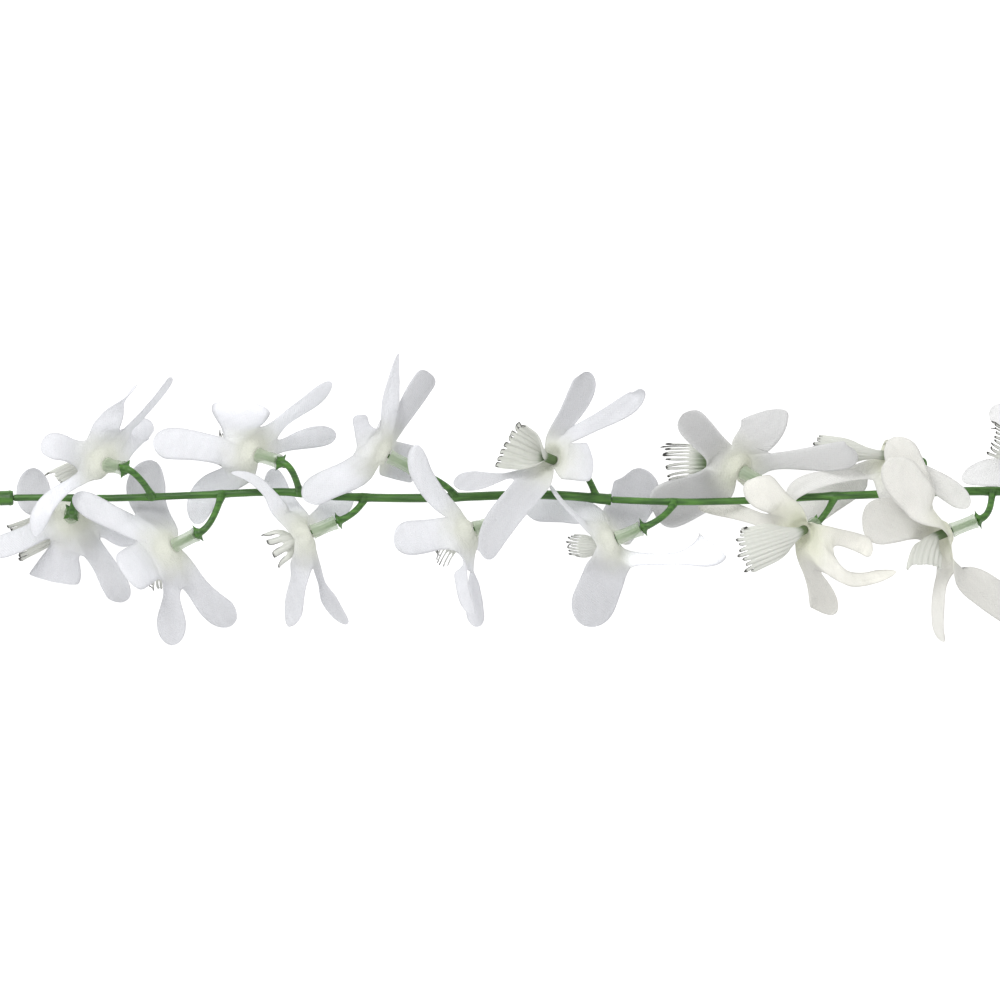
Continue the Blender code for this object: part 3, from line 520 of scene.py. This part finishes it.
def stem_plastic(name):
    """Dark green moulded plastic, with paler streaks and browned spikes."""
    finish = Finish(name)
    place = finish.node("ShaderNodeTexCoord").outputs["Object"]
    streaks = finish.clouds(finish.stretched(place, (120.0, 900.0, 900.0)), 1.0, 3.0)
    patches = finish.clouds(place, 140.0, 3.0)
    pits = finish.clouds(place, 1800.0, 2.0)
    colour = finish.mixed((0.02, 0.075, 0.008), (0.072, 0.2, 0.024), streaks.rise(0.25, 0.8))
    colour = finish.dimmed(colour, 0.75 + patches * 0.5)
    colour = finish.mixed(colour, (0.42, 0.4, 0.2), finish.own("paling"))
    colour = finish.mixed(colour, (0.2, 0.1, 0.04), finish.own("browning"))
    skin = finish.skin({
        "Base Color": colour,
        "Roughness": 0.34 + patches * 0.2,
        "Specular IOR Level": 0.5,
        "Normal": finish.bump(streaks + pits * 0.4, 0.12),
    })
    return finish.done(skin)


def table_paint():
    """The plain white ground."""
    finish = Finish("table_white")
    place = finish.node("ShaderNodeTexCoord").outputs["Object"]
    skin = finish.skin({
        "Base Color": finish.dimmed((0.5, 0.5, 0.5), 0.99 + finish.clouds(place, 30.0) * 0.01),
        "Roughness": 0.9,
        "Emission Color": (1.0, 1.0, 1.0, 1.0),
        "Emission Strength": 0.75,
    })
    return finish.done(skin)


# Meshes

def mesh_of(name, vertices, faces, maps=None, numbers=None):
    """A mesh in the row's metres from vertices in the layout's millimetres.

    maps holds flat coordinates for each vertex, and numbers holds a number for each.
    """
    mesh = bpy.data.meshes.new(name)
    mesh.from_pydata([(Vector(vertex) - MIDDLE) * MM for vertex in vertices], [], faces)
    for key, places in (maps or {}).items():
        layer = mesh.uv_layers.new(name=key)
        for loop in mesh.loops:
            layer.data[loop.index].uv = places[loop.vertex_index]
    for key, amounts in (numbers or {}).items():
        mesh.attributes.new(key, "FLOAT", "POINT").data.foreach_set("value", amounts)
    mesh.shade_smooth()
    return mesh


def piece(name, mesh, material, node):
    """A shown piece that stands for a CAD node."""
    mesh.materials.append(material)
    made = bpy.data.objects.new(name, mesh)
    bpy.context.scene.collection.objects.link(made)
    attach(made, "root")
    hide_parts(node)
    return made


def thicken(made, thickness):
    solid = made.modifiers.new("Wall", "SOLIDIFY")
    solid.thickness = thickness * MM
    solid.offset = 0.0


def bridge(first, second, count):
    """Quads between two closed rings of vertices."""
    return [
        (first + i, first + (i + 1) % count, second + (i + 1) % count, second + i)
        for i in range(count)
    ]


def strip(row, new):
    """Quads between two open rows of vertices."""
    return [(row[i], row[i + 1], new[i + 1], new[i]) for i in range(len(row) - 1)]


# The corollas

def round_the_heart(flower):
    """The corolla's axis and side direction, and its petals in order with the angle of each."""
    axis = (Vector(flower.axis).normalized() + STRAIGHT_UP * flower.lean).normalized()
    across = squared(STRAIGHT_UP if abs(axis.z) < 0.9 else Vector((1.0, 0.0, 0.0)), axis)
    upward = axis.cross(across)
    angles = []
    for petal in flower.petals:
        reach = Vector(petal.middle) - Vector(flower.heart)
        angles.append(math.atan2(reach.dot(upward), reach.dot(across)))
    order = sorted(range(len(angles)), key=lambda index: angles[index])
    step = math.tau / len(order)
    drift = sum(angles[index] - place * step for place, index in enumerate(order)) / len(order)
    lobes = []
    for place, index in enumerate(order):
        angle = between(angles[index], drift + place * step, EVENNESS)
        lobes.append((flower.petals[index], angle))
    return (axis, across), lobes


def blade_width(petal, t):
    """The lobe's width at a share of its length: its neck, its broad end and its round tip."""
    flare = between(petal.neck, 1.0, eased((t - petal.waist) / (petal.broad - petal.waist)))
    past = max((t - petal.broad) / (1 - petal.broad), 0.0)
    return petal.width * flare * math.sqrt(max(1 - past ** petal.squareness, 0.0))


def blade_frames(root, outward, axis, petal):
    """Frames down a petal's centre line, turned so that its broad end shows its stated angle."""
    leaving = outward * math.cos(THROAT_RISE) + axis * math.sin(THROAT_RISE)
    control = curve_through(root, leaving, Vector(petal.middle), Vector(petal.tip), petal.straight)
    frames = frames_along([bezier(control, share) for share in SHARES], axis.cross(outward))
    broad = min(range(len(SHARES)), key=lambda step: abs(SHARES[step] - 0.75))
    _, along, side = frames[broad]
    facing = turn(squared(STRAIGHT_UP, along), math.radians(petal.turned), along)
    wanted = along.cross(facing)
    spin = math.atan2(side.cross(wanted).dot(along), side.dot(wanted))
    spin = (spin + math.pi / 2) % math.pi - math.pi / 2
    twist = math.radians(petal.twist)
    return [
        (point, along, turn(side, spin * eased(share / 0.5) + twist * eased(share * 2 - 1), along))
        for (point, along, side), share in zip(frames, SHARES)
    ]


def blade_point(petal, step, blade_frame, across, seed):
    """A point of a lobe: across runs from -1 at one edge to 1 at the other."""
    share = SHARES[step]
    point, along, side = blade_frame
    front = along.cross(side)
    half = blade_width(petal, share) / 2
    free = eased((share - 0.15) / 0.3)
    lift = petal.cup * half * across * across * free
    lift += petal.curl * eased((share - 0.6) / 0.4)
    ripple = unevenness((across * 2.0, share * 5.0, 0.0), 1.0, seed)
    lift += petal.wave * ripple * (0.35 + across * across) * free
    rightward = 1 if side.dot(along.cross(STRAIGHT_UP)) > 0 else -1
    forward = petal.slant * rightward * half * across * eased(share * 2 - 1)
    return point + side * half * across + front * lift + along * forward


def joined(point, flat):
    """A point of the cloth: where it is in space, and where it lies on the flat blank."""
    return Vector((*point, *flat))


def lobe_rows(flower, petal, angle, sides, seed):
    """A lobe's rows of points, from the throat to the tip.

    sides holds, for its two sides, the angle half way to the neighbour and the share of the
    length where they part.
    """
    throat = Vector(flower.heart) + Vector(flower.axis).normalized() * THROAT_DEPTH
    (axis, across), _ = round_the_heart(flower)
    outward = turn(across, angle, axis)
    blade = blade_frames(throat + outward * THROAT_RADIUS, outward, axis, petal)
    length = sum((b[0] - a[0]).length for a, b in zip(blade, blade[1:]))
    rows = []
    for step, share in enumerate(SHARES):
        reach = THROAT_RADIUS + share * length
        row = []
        for column in range(LOBE_COLUMNS + 1):
            u = 2 * column / LOBE_COLUMNS - 1
            edge_angle, web = sides[u > 0]
            offset = (edge_angle - angle) * abs(u)
            swung = throat + turn(blade[step][0] - throat, offset, axis) * drawn_in(web, u)
            made = blade_point(petal, step, blade[step], u, seed)
            half = blade_width(petal, share) / 2
            round_flat = Vector((math.cos(angle + offset), math.sin(angle + offset))) * reach
            long_flat = Vector((math.cos(angle), math.sin(angle))) * reach
            long_flat += Vector((-math.sin(angle), math.cos(angle))) * half * u
            settled = eased(share / max(web, 0.12))
            row.append(joined(swung, round_flat).lerp(joined(made, long_flat), settled))
        rows.append(row)
    return rows


def drawn_in(web, across):
    """The share of its radius that the throat keeps: a deep cut between petals draws it in."""
    return 1 - TIGHTNESS * (1 - min(web / TIGHT_WEB, 1.0)) * abs(across) ** 3


def draw_together(left, right, web):
    """Moves the facing edges of two lobes onto each other, up to where the lobes part."""
    last = joined_steps(web)
    left_move = right_move = None
    for step in range(len(SHARES)):
        if step <= last:
            middle = left[step][-1].lerp(right[step][0], 0.5)
            left_move, right_move = middle - left[step][-1], middle - right[step][0]
            held = 1.0
        else:
            parted = min((SHARES[step] - SHARES[last]) / VALLEY, 1.0)
            held = 1 - math.sqrt(1 - (1 - parted) ** 2)
        for column in range(LOBE_COLUMNS + 1):
            share = column / LOBE_COLUMNS
            left[step][column] += left_move * held * share ** 3
            right[step][column] += right_move * held * (1 - share) ** 3


def joined_steps(web):
    """The last step at which two lobes are still joined."""
    return max(step for step, share in enumerate(SHARES) if share <= web)


def lobes_of(flower, seed):
    """The flower's petals in order, each with its angle, its rows and the web to the next."""
    _, lobes = round_the_heart(flower)
    angles = [angle for _, angle in lobes]
    after = [(low + high) / 2 for low, high in zip(angles, angles[1:])]
    after.append((angles[-1] + angles[0] + math.tau) / 2)
    before = [after[-1] - math.tau] + after[:-1]
    numbers = [flower.petals.index(petal) + 1 for petal, _ in lobes]
    webs = []
    for place, number in enumerate(numbers):
        pair = tuple(sorted((number, numbers[(place + 1) % len(numbers)])))
        webs.append(flower.webs.get(pair, USUAL_WEB))
    rows = [
        lobe_rows(flower, petal, angle, ((before[place], webs[place - 1]), (after[place], webs[place])),
                  seed + place)
        for place, (petal, angle) in enumerate(lobes)
    ]
    for place, web in enumerate(webs):
        draw_together(rows[place], rows[(place + 1) % len(rows)], web)
    return [
        (petal, angle, (before[place], after[place]), rows[place], webs[place])
        for place, (petal, angle) in enumerate(lobes)
    ]


def throat_rings(flower, lobes):
    """Closed rings of points from the hole for the peg to the throat's rim."""
    heart = Vector(flower.heart)
    peg_axis = Vector(flower.axis).normalized()
    (axis, across), _ = round_the_heart(flower)
    rings = []
    for radius in (BORE_RADIUS, 1.6, SEAT_RADIUS, 3.0, 3.7, 4.4):
        opened = eased((radius - SEAT_RADIUS) / (THROAT_RADIUS - SEAT_RADIUS))
        ring = []
        for place, (_, angle, (low, high), _, web) in enumerate(lobes):
            for column in range(LOBE_COLUMNS):
                u = 2 * column / LOBE_COLUMNS - 1
                bearing = between(angle, high if u > 0 else low, abs(u))
                kept = drawn_in(web if u > 0 else lobes[place - 1][4], u)
                outward = turn(across, bearing, axis)
                outward = squared(outward, peg_axis).lerp(outward, opened)
                reach = radius * between(1.0, kept, opened)
                point = heart + outward * reach + peg_axis * THROAT_DEPTH * opened
                ring.append(joined(point, (math.cos(bearing) * radius, math.sin(bearing) * radius)))
        rings.append(ring)
    return rings


def corolla(number, flower, material):
    """A five-lobed blank of cloth, closed round its throat and parted into lobes."""
    lobes = lobes_of(flower, number * 10)
    points, faces, painted_lighting_amounts = [], [], []
    for ring in throat_rings(flower, lobes):
        if points:
            faces += bridge(len(points) - len(ring), len(points), len(ring))
        points += ring
    painted_lighting_amounts += [1.0] * len(points)
    rim = len(points) - len(lobes) * LOBE_COLUMNS
    edges = []
    for place, (petal, _, _, rows, web) in enumerate(lobes):
        row = [rim + (place * LOBE_COLUMNS + column) % (len(points[rim:rim + len(lobes) * LOBE_COLUMNS]))
               for column in range(LOBE_COLUMNS + 1)]
        left_edge = edges[-1] if edges else None
        own_left, own_right = [], []
        for step, share in enumerate(SHARES[:-1]):
            new = []
            for column in range(LOBE_COLUMNS + 1):
                shared = None
                if column == 0 and left_edge and step <= joined_steps(lobes[place - 1][4]):
                    shared = left_edge[step]
                if column == LOBE_COLUMNS and place == len(lobes) - 1 and step <= joined_steps(web):
                    shared = first_edge[step]
                if shared is None:
                    shared = len(points)
                    points.append(rows[step][column])
                    u = 2 * column / LOBE_COLUMNS - 1
                    # Painted light and shade: 1 at the throat, easing to the petal's factor further out, drawn to 0.93
                    # at its side edges.
                    painted_lighting_amounts.append(between(1.0, between(petal.tone, 0.93, u ** 8), eased(share / 0.3)))
                new.append(shared)
            faces += strip(row, new)
            row = new
            own_left.append(new[0])
            own_right.append(new[-1])
        points.append(rows[-1][LOBE_COLUMNS // 2])
        painted_lighting_amounts.append(petal.tone)
        faces += [(row[i], row[i + 1], len(points) - 1) for i in range(LOBE_COLUMNS)]
        if place == 0:
            first_edge = own_left
        edges.append(own_right)
    places = [above_table(point.to_3d(), CLOTH_THICKNESS / 2) for point in points]
    flats = {CLOTH: [(point[3], point[4]) for point in points]}
    mesh = mesh_of(f"petals_{number:02d}", places, faces, flats, {PAINTED_LIGHTING: painted_lighting_amounts})
    made = piece(mesh.name, mesh, material, f"corolla_{number:02d}")
    thicken(made, CLOTH_THICKNESS)


# The lips

def lip_section(lip_frame, opened, width, across, ridge):
    """A point across the lip: a closed tube while opened is 0, a shallow trough when it is 1."""
    point, along, side = lip_frame
    half_angle = between(math.pi, math.radians(55), opened)
    radius = width / (2 * half_angle)
    angle = half_angle * across
    back = side.cross(along)
    raised = radius + ridge
    return (
        point
        + side * raised * math.sin(angle)
        + back * (raised * math.cos(angle) - radius + LIP_TUBE_RADIUS)
    )


def lip_frames(flower):
    """Frames from the back of the lip's tube to its fringe, and each one's share of the way."""
    axis = Vector(flower.axis).normalized()
    start = Vector(flower.heart) + axis * (LIP_START + LIP_TUBE_LENGTH)
    tip = Vector(flower.lip.tip)
    middle = start.lerp(tip, 0.5) + axis * (tip - start).length * 0.12
    control = curve_through(start, axis, middle, tip)
    line = [start + axis * LIP_TUBE_LENGTH * (step / TUBE_STEPS - 1) for step in range(TUBE_STEPS)]
    count = LIP_STEPS - TUBE_STEPS
    line += [bezier(control, step / count) for step in range(count + 1)]
    facing = turn(squared(STRAIGHT_UP, axis), math.radians(flower.lip.turned), axis)
    return frames_along(line, axis.cross(facing))


def lip(number, flower, material):
    """A short tube that opens into a ribbed trough, whose ribs part into tapering fingers."""
    form = flower.lip
    frames = lip_frames(flower)
    columns = form.ribs * RIB_COLUMNS
    parting = TUBE_STEPS + round((LIP_STEPS - TUBE_STEPS) * form.parting)
    tube_width = math.tau * LIP_TUBE_RADIUS
    points, flats, faces, darkness = [], [], [], []

    def add(step, across, lift=0.0, dark=0.0):
        spread = max(step - TUBE_STEPS, 0) / (LIP_STEPS - TUBE_STEPS)
        width = between(tube_width, form.width, spread ** 0.65)
        wave = 0.5 - 0.5 * math.cos(math.tau * form.ribs * (across + 1) / 2)
        ridge = RIB_HEIGHT * form.width / form.ribs * eased(spread * 3) * wave
        found = lip_section(frames[step], eased(spread * 2), width, across, ridge + lift)
        points.append(above_table(found, LIP_WALL / 2))
        flats.append((across * 0.5 + 0.5, step / LIP_STEPS))
        darkness.append(dark * form.grey)
        return len(points) - 1

    for step in range(TUBE_STEPS + 1):
        for column in range(columns):
            add(step, 2 * column / columns - 1)
        if step:
            faces += bridge((step - 1) * columns, step * columns, columns)
    row = [TUBE_STEPS * columns + column % columns for column in range(columns + 1)]
    for step in range(TUBE_STEPS + 1, parting + 1):
        new = [add(step, 2 * column / columns - 1) for column in range(columns + 1)]
        faces += strip(row, new)
        row = new
    for rib in range(form.ribs):
        middle = (2 * rib + 1) / form.ribs - 1
        base = row[rib * RIB_COLUMNS: (rib + 1) * RIB_COLUMNS + 1]
        wander = unevenness((rib * 1.7, 0.0, 0.0), 1.0, number) * 2.4 / form.ribs
        lift = unevenness((rib * 1.3, 5.0, 0.0), 1.0, number) * 2.4
        last = LIP_STEPS - round(abs(unevenness((rib * 2.1, 9.0, 0.0), 1.0, number)) * 8)
        for step in range(parting + 1, last):
            out = (step - parting) / (last - parting)
            parted = math.sqrt(1 - (1 - min(out * 5, 1.0)) ** 2)
            share = between(1.0, form.slimness, parted) * math.sqrt(1 - out ** 4 * 0.8)
            new = []
            for column in range(RIB_COLUMNS + 1):
                offset = 2 * column / RIB_COLUMNS - 1
                dark = max(eased(abs(offset) * 2 - 1) * eased(out * 3), eased((out - 0.55) / 0.4))
                new.append(add(step, middle + wander * out * out + offset * share / form.ribs,
                               lift * out * out, dark))
            faces += strip(base, new)
            base = new
        end = add(last, middle + wander, lift, 1.0)
        faces += [(base[i], base[i + 1], end) for i in range(RIB_COLUMNS)]
    amounts = {DARKNESS: darkness, GREENNESS: [form.green] * len(points)}
    mesh = mesh_of(f"fringed_lip_{number:02d}", points, faces, {ALONG: flats}, amounts)
    made = piece(mesh.name, mesh, material, f"lip_{number:02d}")
    thicken(made, LIP_WALL)


# The calyx tubes

def calyx_tube(number, flower, material):
    """A waisted sleeve with soft ribs and a rolled rim at each end."""
    axis = Vector(flower.axis).normalized()
    back = Vector(flower.heart) - axis * (COROLLA_AT - FIT_GAP)
    side = axis.orthogonal().normalized()
    sides = CALYX_RIBS * 6
    bore = BORE_RADIUS
    outer = []
    for step in range(17):
        share = step / 16
        rim = 0.18 * (math.exp(-(share * 12) ** 2) + math.exp(-((1 - share) * 12) ** 2))
        outer.append((share * CALYX_LENGTH, CALYX_RADIUS - 0.22 * math.sin(share * math.pi) + rim - 0.12, 1.0))
    profile = [(0.12, bore, 0.0), (0.0, bore + 0.1, 0.0), (0.0, CALYX_RADIUS - 0.35, 0.0)]
    profile += outer
    profile += [(CALYX_LENGTH, CALYX_RADIUS - 0.35, 0.0), (CALYX_LENGTH, bore + 0.1, 0.0)]
    profile += [(CALYX_LENGTH - 0.12, bore, 0.0), (CALYX_LENGTH / 2, bore, 0.0)]
    points, flats, faces = [], [], []
    for index, (station, radius, ribbed) in enumerate(profile):
        for corner in range(sides):
            angle = corner * math.tau / sides
            rib = 0.1 * ribbed * math.cos(CALYX_RIBS * angle) * math.sin(station / CALYX_LENGTH * math.pi)
            points.append(back + axis * station + turn(side, angle, axis) * (radius + rib))
            flats.append((corner / sides, station / CALYX_LENGTH))
        faces += bridge(index * sides, (index + 1) % len(profile) * sides, sides)
    mesh = mesh_of(f"calyx_{number:02d}", points, faces, {ALONG: flats})
    mesh.set_sharp_from_angle(angle=math.radians(50))
    piece(mesh.name, mesh, material, f"calyx_tube_{number:02d}")


# The moulded stems

def stem_point(x):
    """The point of the stem's smooth line at a distance along it."""
    line = STEM
    for before, after in zip(line, line[1:]):
        if before.x <= x <= after.x:
            return before.lerp(after, (x - before.x) / (after.x - before.x))
    return line[-1]


STEM = smooth_line([Vector((x, y, 0.0)) for x, y in STEM_LINE], 12)


def stem_run(start, end, spacing):
    count = max(round((end - start) / spacing), 1)
    return [stem_point(between(start, end, step / count)) for step in range(count + 1)]


def turned_body(frames, radii, sides):
    """Vertices and faces of round rings joined in a row, with both ends closed."""
    vertices, faces = [], []
    for (point, along, side), radius in zip(frames, radii):
        if vertices:
            faces += bridge(len(vertices) - sides, len(vertices), sides)
        for corner in range(sides):
            angle = corner * math.tau / sides
            reach = radius(angle) if callable(radius) else radius
            vertices.append(point + turn(side, angle, along) * reach)
    faces.append(tuple(reversed(range(sides))))
    faces.append(tuple(range(len(vertices) - sides, len(vertices))))
    return vertices, faces


def hollow_end(frames, radii, bore, depth):
    """Turns the last ring into the mouth of a socket."""
    point, along, side = frames[-1]
    frames += [frames[-1], (point - along * depth, along, side)]
    radii += [bore, bore]


def stem_finish(mesh, paling=None, browning=None):
    """Gives a stem's mesh the numbers that its plastic reads."""
    count = len(mesh.vertices)
    for key, amounts in (("paling", paling), ("browning", browning)):
        mesh.attributes.new(key, "FLOAT", "POINT").data.foreach_set("value", amounts or [0.0] * count)
    return mesh


def stem_end(material):
    """The root end of the neighbouring spray: a knob with a socket."""
    run = stem_run(STEM_LINE[0][0], KNOB_END, 0.5)
    frames = frames_along(run)
    radii = []
    for point in run:
        swell = eased((point.x + 3.0) / 2.2) * (1 - 0.25 * eased((point.x - 2.2) / 2.2))
        rim = 0.25 * math.exp(-((point.x - 3.4) / 0.5) ** 2)
        radii.append(between(THICK_RADIUS, KNOB_RADIUS, swell) + rim)
    hollow_end(frames, radii, SPIGOT_RADIUS + FIT_GAP, SPIGOT_LENGTH)
    mesh = stem_finish(mesh_of("stem_root_end", *turned_body(frames, radii, STEM_SIDES)))
    mesh.set_sharp_from_angle(angle=math.radians(50))
    piece(mesh.name, mesh, material, "stem_end_left")


def stem_spray(name, node, start, end, flowers, socketed, material):
    """One moulding: the main stem with its spigot, and a stalk, collar and peg for each flower."""
    spigot = stem_run(start - SPIGOT_LENGTH + FIT_GAP, start + FIT_GAP, 1.9)
    run = spigot + stem_run(start + FIT_GAP + 0.01, end, 1.5)
    frames = frames_along(run)
    radii = [SPIGOT_RADIUS] * len(spigot)
    for point in run[len(spigot):]:
        radius = between(THIN_RADIUS, THICK_RADIUS, eased((point.x - start) / (end - start)))
        for _, flower in flowers:
            radius += 0.2 * math.exp(-((point.x - flower.node + 0.4) / 1.8) ** 2)
        radius += 0.05 * unevenness((point.x, 0.0, 0.0), 3.0, 1)
        radii.append(radius)
    if socketed:
        mouth = stem_run(end - SPIGOT_LENGTH - 1.4, end, 0.5)
        frames = frames[:-4] + frames_along(mouth)
        first = radii[-5]
        radii = radii[:-4]
        for point in mouth:
            swell = eased((point.x - mouth[0].x) / 1.6)
            rim = 0.16 * math.exp(-((point.x - end + 0.5) / 0.4) ** 2)
            radii.append(between(first, SOCKET_RADIUS, swell) + rim)
        hollow_end(frames, radii, SPIGOT_RADIUS + FIT_GAP, SPIGOT_LENGTH)
    base = stem_finish(mesh_of(name, *turned_body(frames, radii, STEM_SIDES)))
    stalks = [stalk_mesh(f"{name}_stalk_{number:02d}", flower) for number, flower in flowers]
    mesh = moulded_together(base, stalks)
    mesh.set_sharp_from_angle(angle=math.radians(42))
    piece(name, mesh, material, node)


def moulded_together(base, others):
    """One closed mesh from several that run into each other."""
    body = bpy.data.objects.new("moulding", base)
    bpy.context.scene.collection.objects.link(body)
    helpers = [body]
    for other in others:
        helper = bpy.data.objects.new(other.name, other)
        bpy.context.scene.collection.objects.link(helper)
        helpers.append(helper)
        union = body.modifiers.new(other.name, "BOOLEAN")
        union.operation = "UNION"
        union.solver = "EXACT"
        union.object = helper
    graph = bpy.context.evaluated_depsgraph_get()
    mesh = bpy.data.meshes.new_from_object(body.evaluated_get(graph))
    for helper in helpers:
        bpy.data.objects.remove(helper)
    mesh.shade_smooth()
    return mesh


def stalk_mesh(name, flower):
    """A curved stalk from the stem, its collar with pointed spikes, and the peg beyond it."""
    root = stem_point(flower.node)
    heart, axis = Vector(flower.heart), Vector(flower.axis).normalized()
    face = heart - axis * COROLLA_AT
    back = face - axis * COLLAR_LENGTH
    away = Vector((-0.25, math.copysign(1.0, back.y - root.y), 0.2 * (back.z - root.z))).normalized()
    reach = (back - root).length
    control = (root, root + away * reach * 0.35, back - axis * reach * 0.3, back)
    line = [bezier(control, step / STALK_STEPS) for step in range(STALK_STEPS)]
    radii = []
    for step in range(STALK_STEPS):
        share = step / STALK_STEPS
        flare = 0.55 * math.exp(-((share / 0.16) ** 2))
        radii.append(STALK_RADIUS + flare + 0.12 * eased((share - 0.75) / 0.25))
    paling, browning = [], []
    for step in range(STALK_STEPS):
        paling += [0.25 * eased((step / STALK_STEPS - 0.8) / 0.2)] * STALK_SIDES * 2
        browning += [0.0] * STALK_SIDES * 2
    # The collar: station, plain radius, how far the spikes stand out there, and the two tints
    collar = (
        (0.0, STALK_RADIUS * 1.15, 0.0, 0.3, 0.0),
        (0.35, COLLAR_RADIUS * 0.8, 0.0, 0.4, 0.1),
        (0.7, COLLAR_RADIUS - 0.15, 0.25, 0.5, 0.25),
        (1.0, COLLAR_RADIUS, 1.0, 0.35, 0.8),
        (1.25, COLLAR_RADIUS, 0.3, 0.5, 0.3),
        (1.55, COLLAR_RADIUS - 0.1, 0.0, 0.6, 0.0),
        (COLLAR_LENGTH, COLLAR_RADIUS - 0.25, 0.0, 0.5, 0.0),
        (COLLAR_LENGTH, PEG_RADIUS, 0.0, 0.2, 0.0),
    )
    for station, radius, spiked, pale, brown in collar:
        line.append(back + axis * (station + (0.001 if radius == PEG_RADIUS else 0.0)))
        radii.append(spiky(radius, spiked))
        for corner in range(STALK_SIDES * 2):
            angle = corner * math.tau / (STALK_SIDES * 2)
            outward = spike_share(angle) * spiked
            paling.append(pale)
            browning.append(brown * outward)
    for share in (0.02, 0.3, 0.6, 0.97, 1.0):
        line.append(back + axis * (COLLAR_LENGTH + PEG_LENGTH * share))
        radii.append(PEG_RADIUS * (0.75 if share == 1.0 else 1.0))
        paling += [0.1] * STALK_SIDES * 2
        browning += [0.0] * STALK_SIDES * 2
    frames = frames_along(line)
    mesh = mesh_of(name, *turned_body(frames, radii, STALK_SIDES * 2))
    return stem_finish(mesh, paling, browning)


def spike_share(angle):
    """1 along each of the collar's four spikes, and 0 between them."""
    return max(math.cos(2 * angle), 0.0) ** 10 if math.cos(2 * angle) > 0 else max(-math.cos(2 * angle), 0.0) ** 10


def spiky(radius, spiked):
    return lambda angle: radius + (SPIKE_REACH - radius) * spiked * spike_share(angle)


# The studio

def lamp(name, place, target, size, power):
    light = bpy.data.lights.new(name, "AREA")
    light.shape = "DISK"
    light.size = size
    light.energy = power
    holder = bpy.data.objects.new(name, light)
    bpy.context.scene.collection.objects.link(holder)
    holder.location = place
    holder.rotation_mode = "QUATERNION"
    holder.rotation_quaternion = (Vector(target) - Vector(place)).to_track_quat("-Z", "Y")


def studio():
    """The white table, soft light from all round with a little more from the upper left, and the camera."""
    half = 4.0
    corners = [(-half, -half, 0.0), (half, -half, 0.0), (half, half, 0.0), (-half, half, 0.0)]
    mesh = bpy.data.meshes.new("table")
    mesh.from_pydata(corners, [], [(0, 1, 2, 3)])
    mesh.materials.append(table_paint())
    table = bpy.data.objects.new("table", mesh)
    bpy.context.scene.collection.objects.link(table)
    world = bpy.data.worlds.new("studio_light")
    world.use_nodes = True
    background = world.node_tree.nodes["Background"]
    background.inputs["Color"].default_value = (1.0, 1.0, 1.0, 1.0)
    background.inputs["Strength"].default_value = 0.8
    bpy.context.scene.world = world
    lamp("key", (-0.7, 0.9, 1.6), (0.0, 0.0, 0.0), 0.9, 18.0)
    lamp("fill", (0.9, -0.8, 1.3), (0.0, 0.0, 0.0), 1.2, 4.0)
    camera = bpy.data.cameras.new("camera")
    camera.type = "PERSP"
    camera.sensor_width = 36.0
    camera.lens = 250.0
    pictured_width = 0.32
    height = pictured_width * camera.lens / camera.sensor_width
    holder = bpy.data.objects.new("camera", camera)
    bpy.context.scene.collection.objects.link(holder)
    holder.location = (0.160 - MIDDLE.x * MM, -MIDDLE.y * MM, TABLE_BELOW_STEM * MM + height)
    bpy.context.scene.camera = holder
    bpy.context.scene.view_settings.view_transform = "Standard"


def dress_garland():
    stem = stem_plastic("stem_green")
    calyx = calyx_plastic("calyx_green")
    milky = lip_plastic("lip_milky")
    cloths = {warmth: petal_cloth(f"petal_cloth_{round(warmth * 10)}", warmth)
              for warmth in sorted({flower.warmth for flower in GARLAND})}
    numbered = list(enumerate(GARLAND, start=1))
    stem_end(stem)
    first, second = numbered[:FLOWERS_ON_FIRST_SPRAY], numbered[FLOWERS_ON_FIRST_SPRAY:]
    stem_spray("stem_first", "stem_spray_1", KNOB_END, SPRAY_JOINT, first, True, stem)
    stem_spray("stem_second", "stem_spray_2", SPRAY_JOINT, STEM_LINE[-1][0], second, False, stem)
    for number, flower in numbered:
        calyx_tube(number, flower, calyx)
        corolla(number, flower, cloths[flower.warmth])
        lip(number, flower, milky)


dress_garland()
studio()
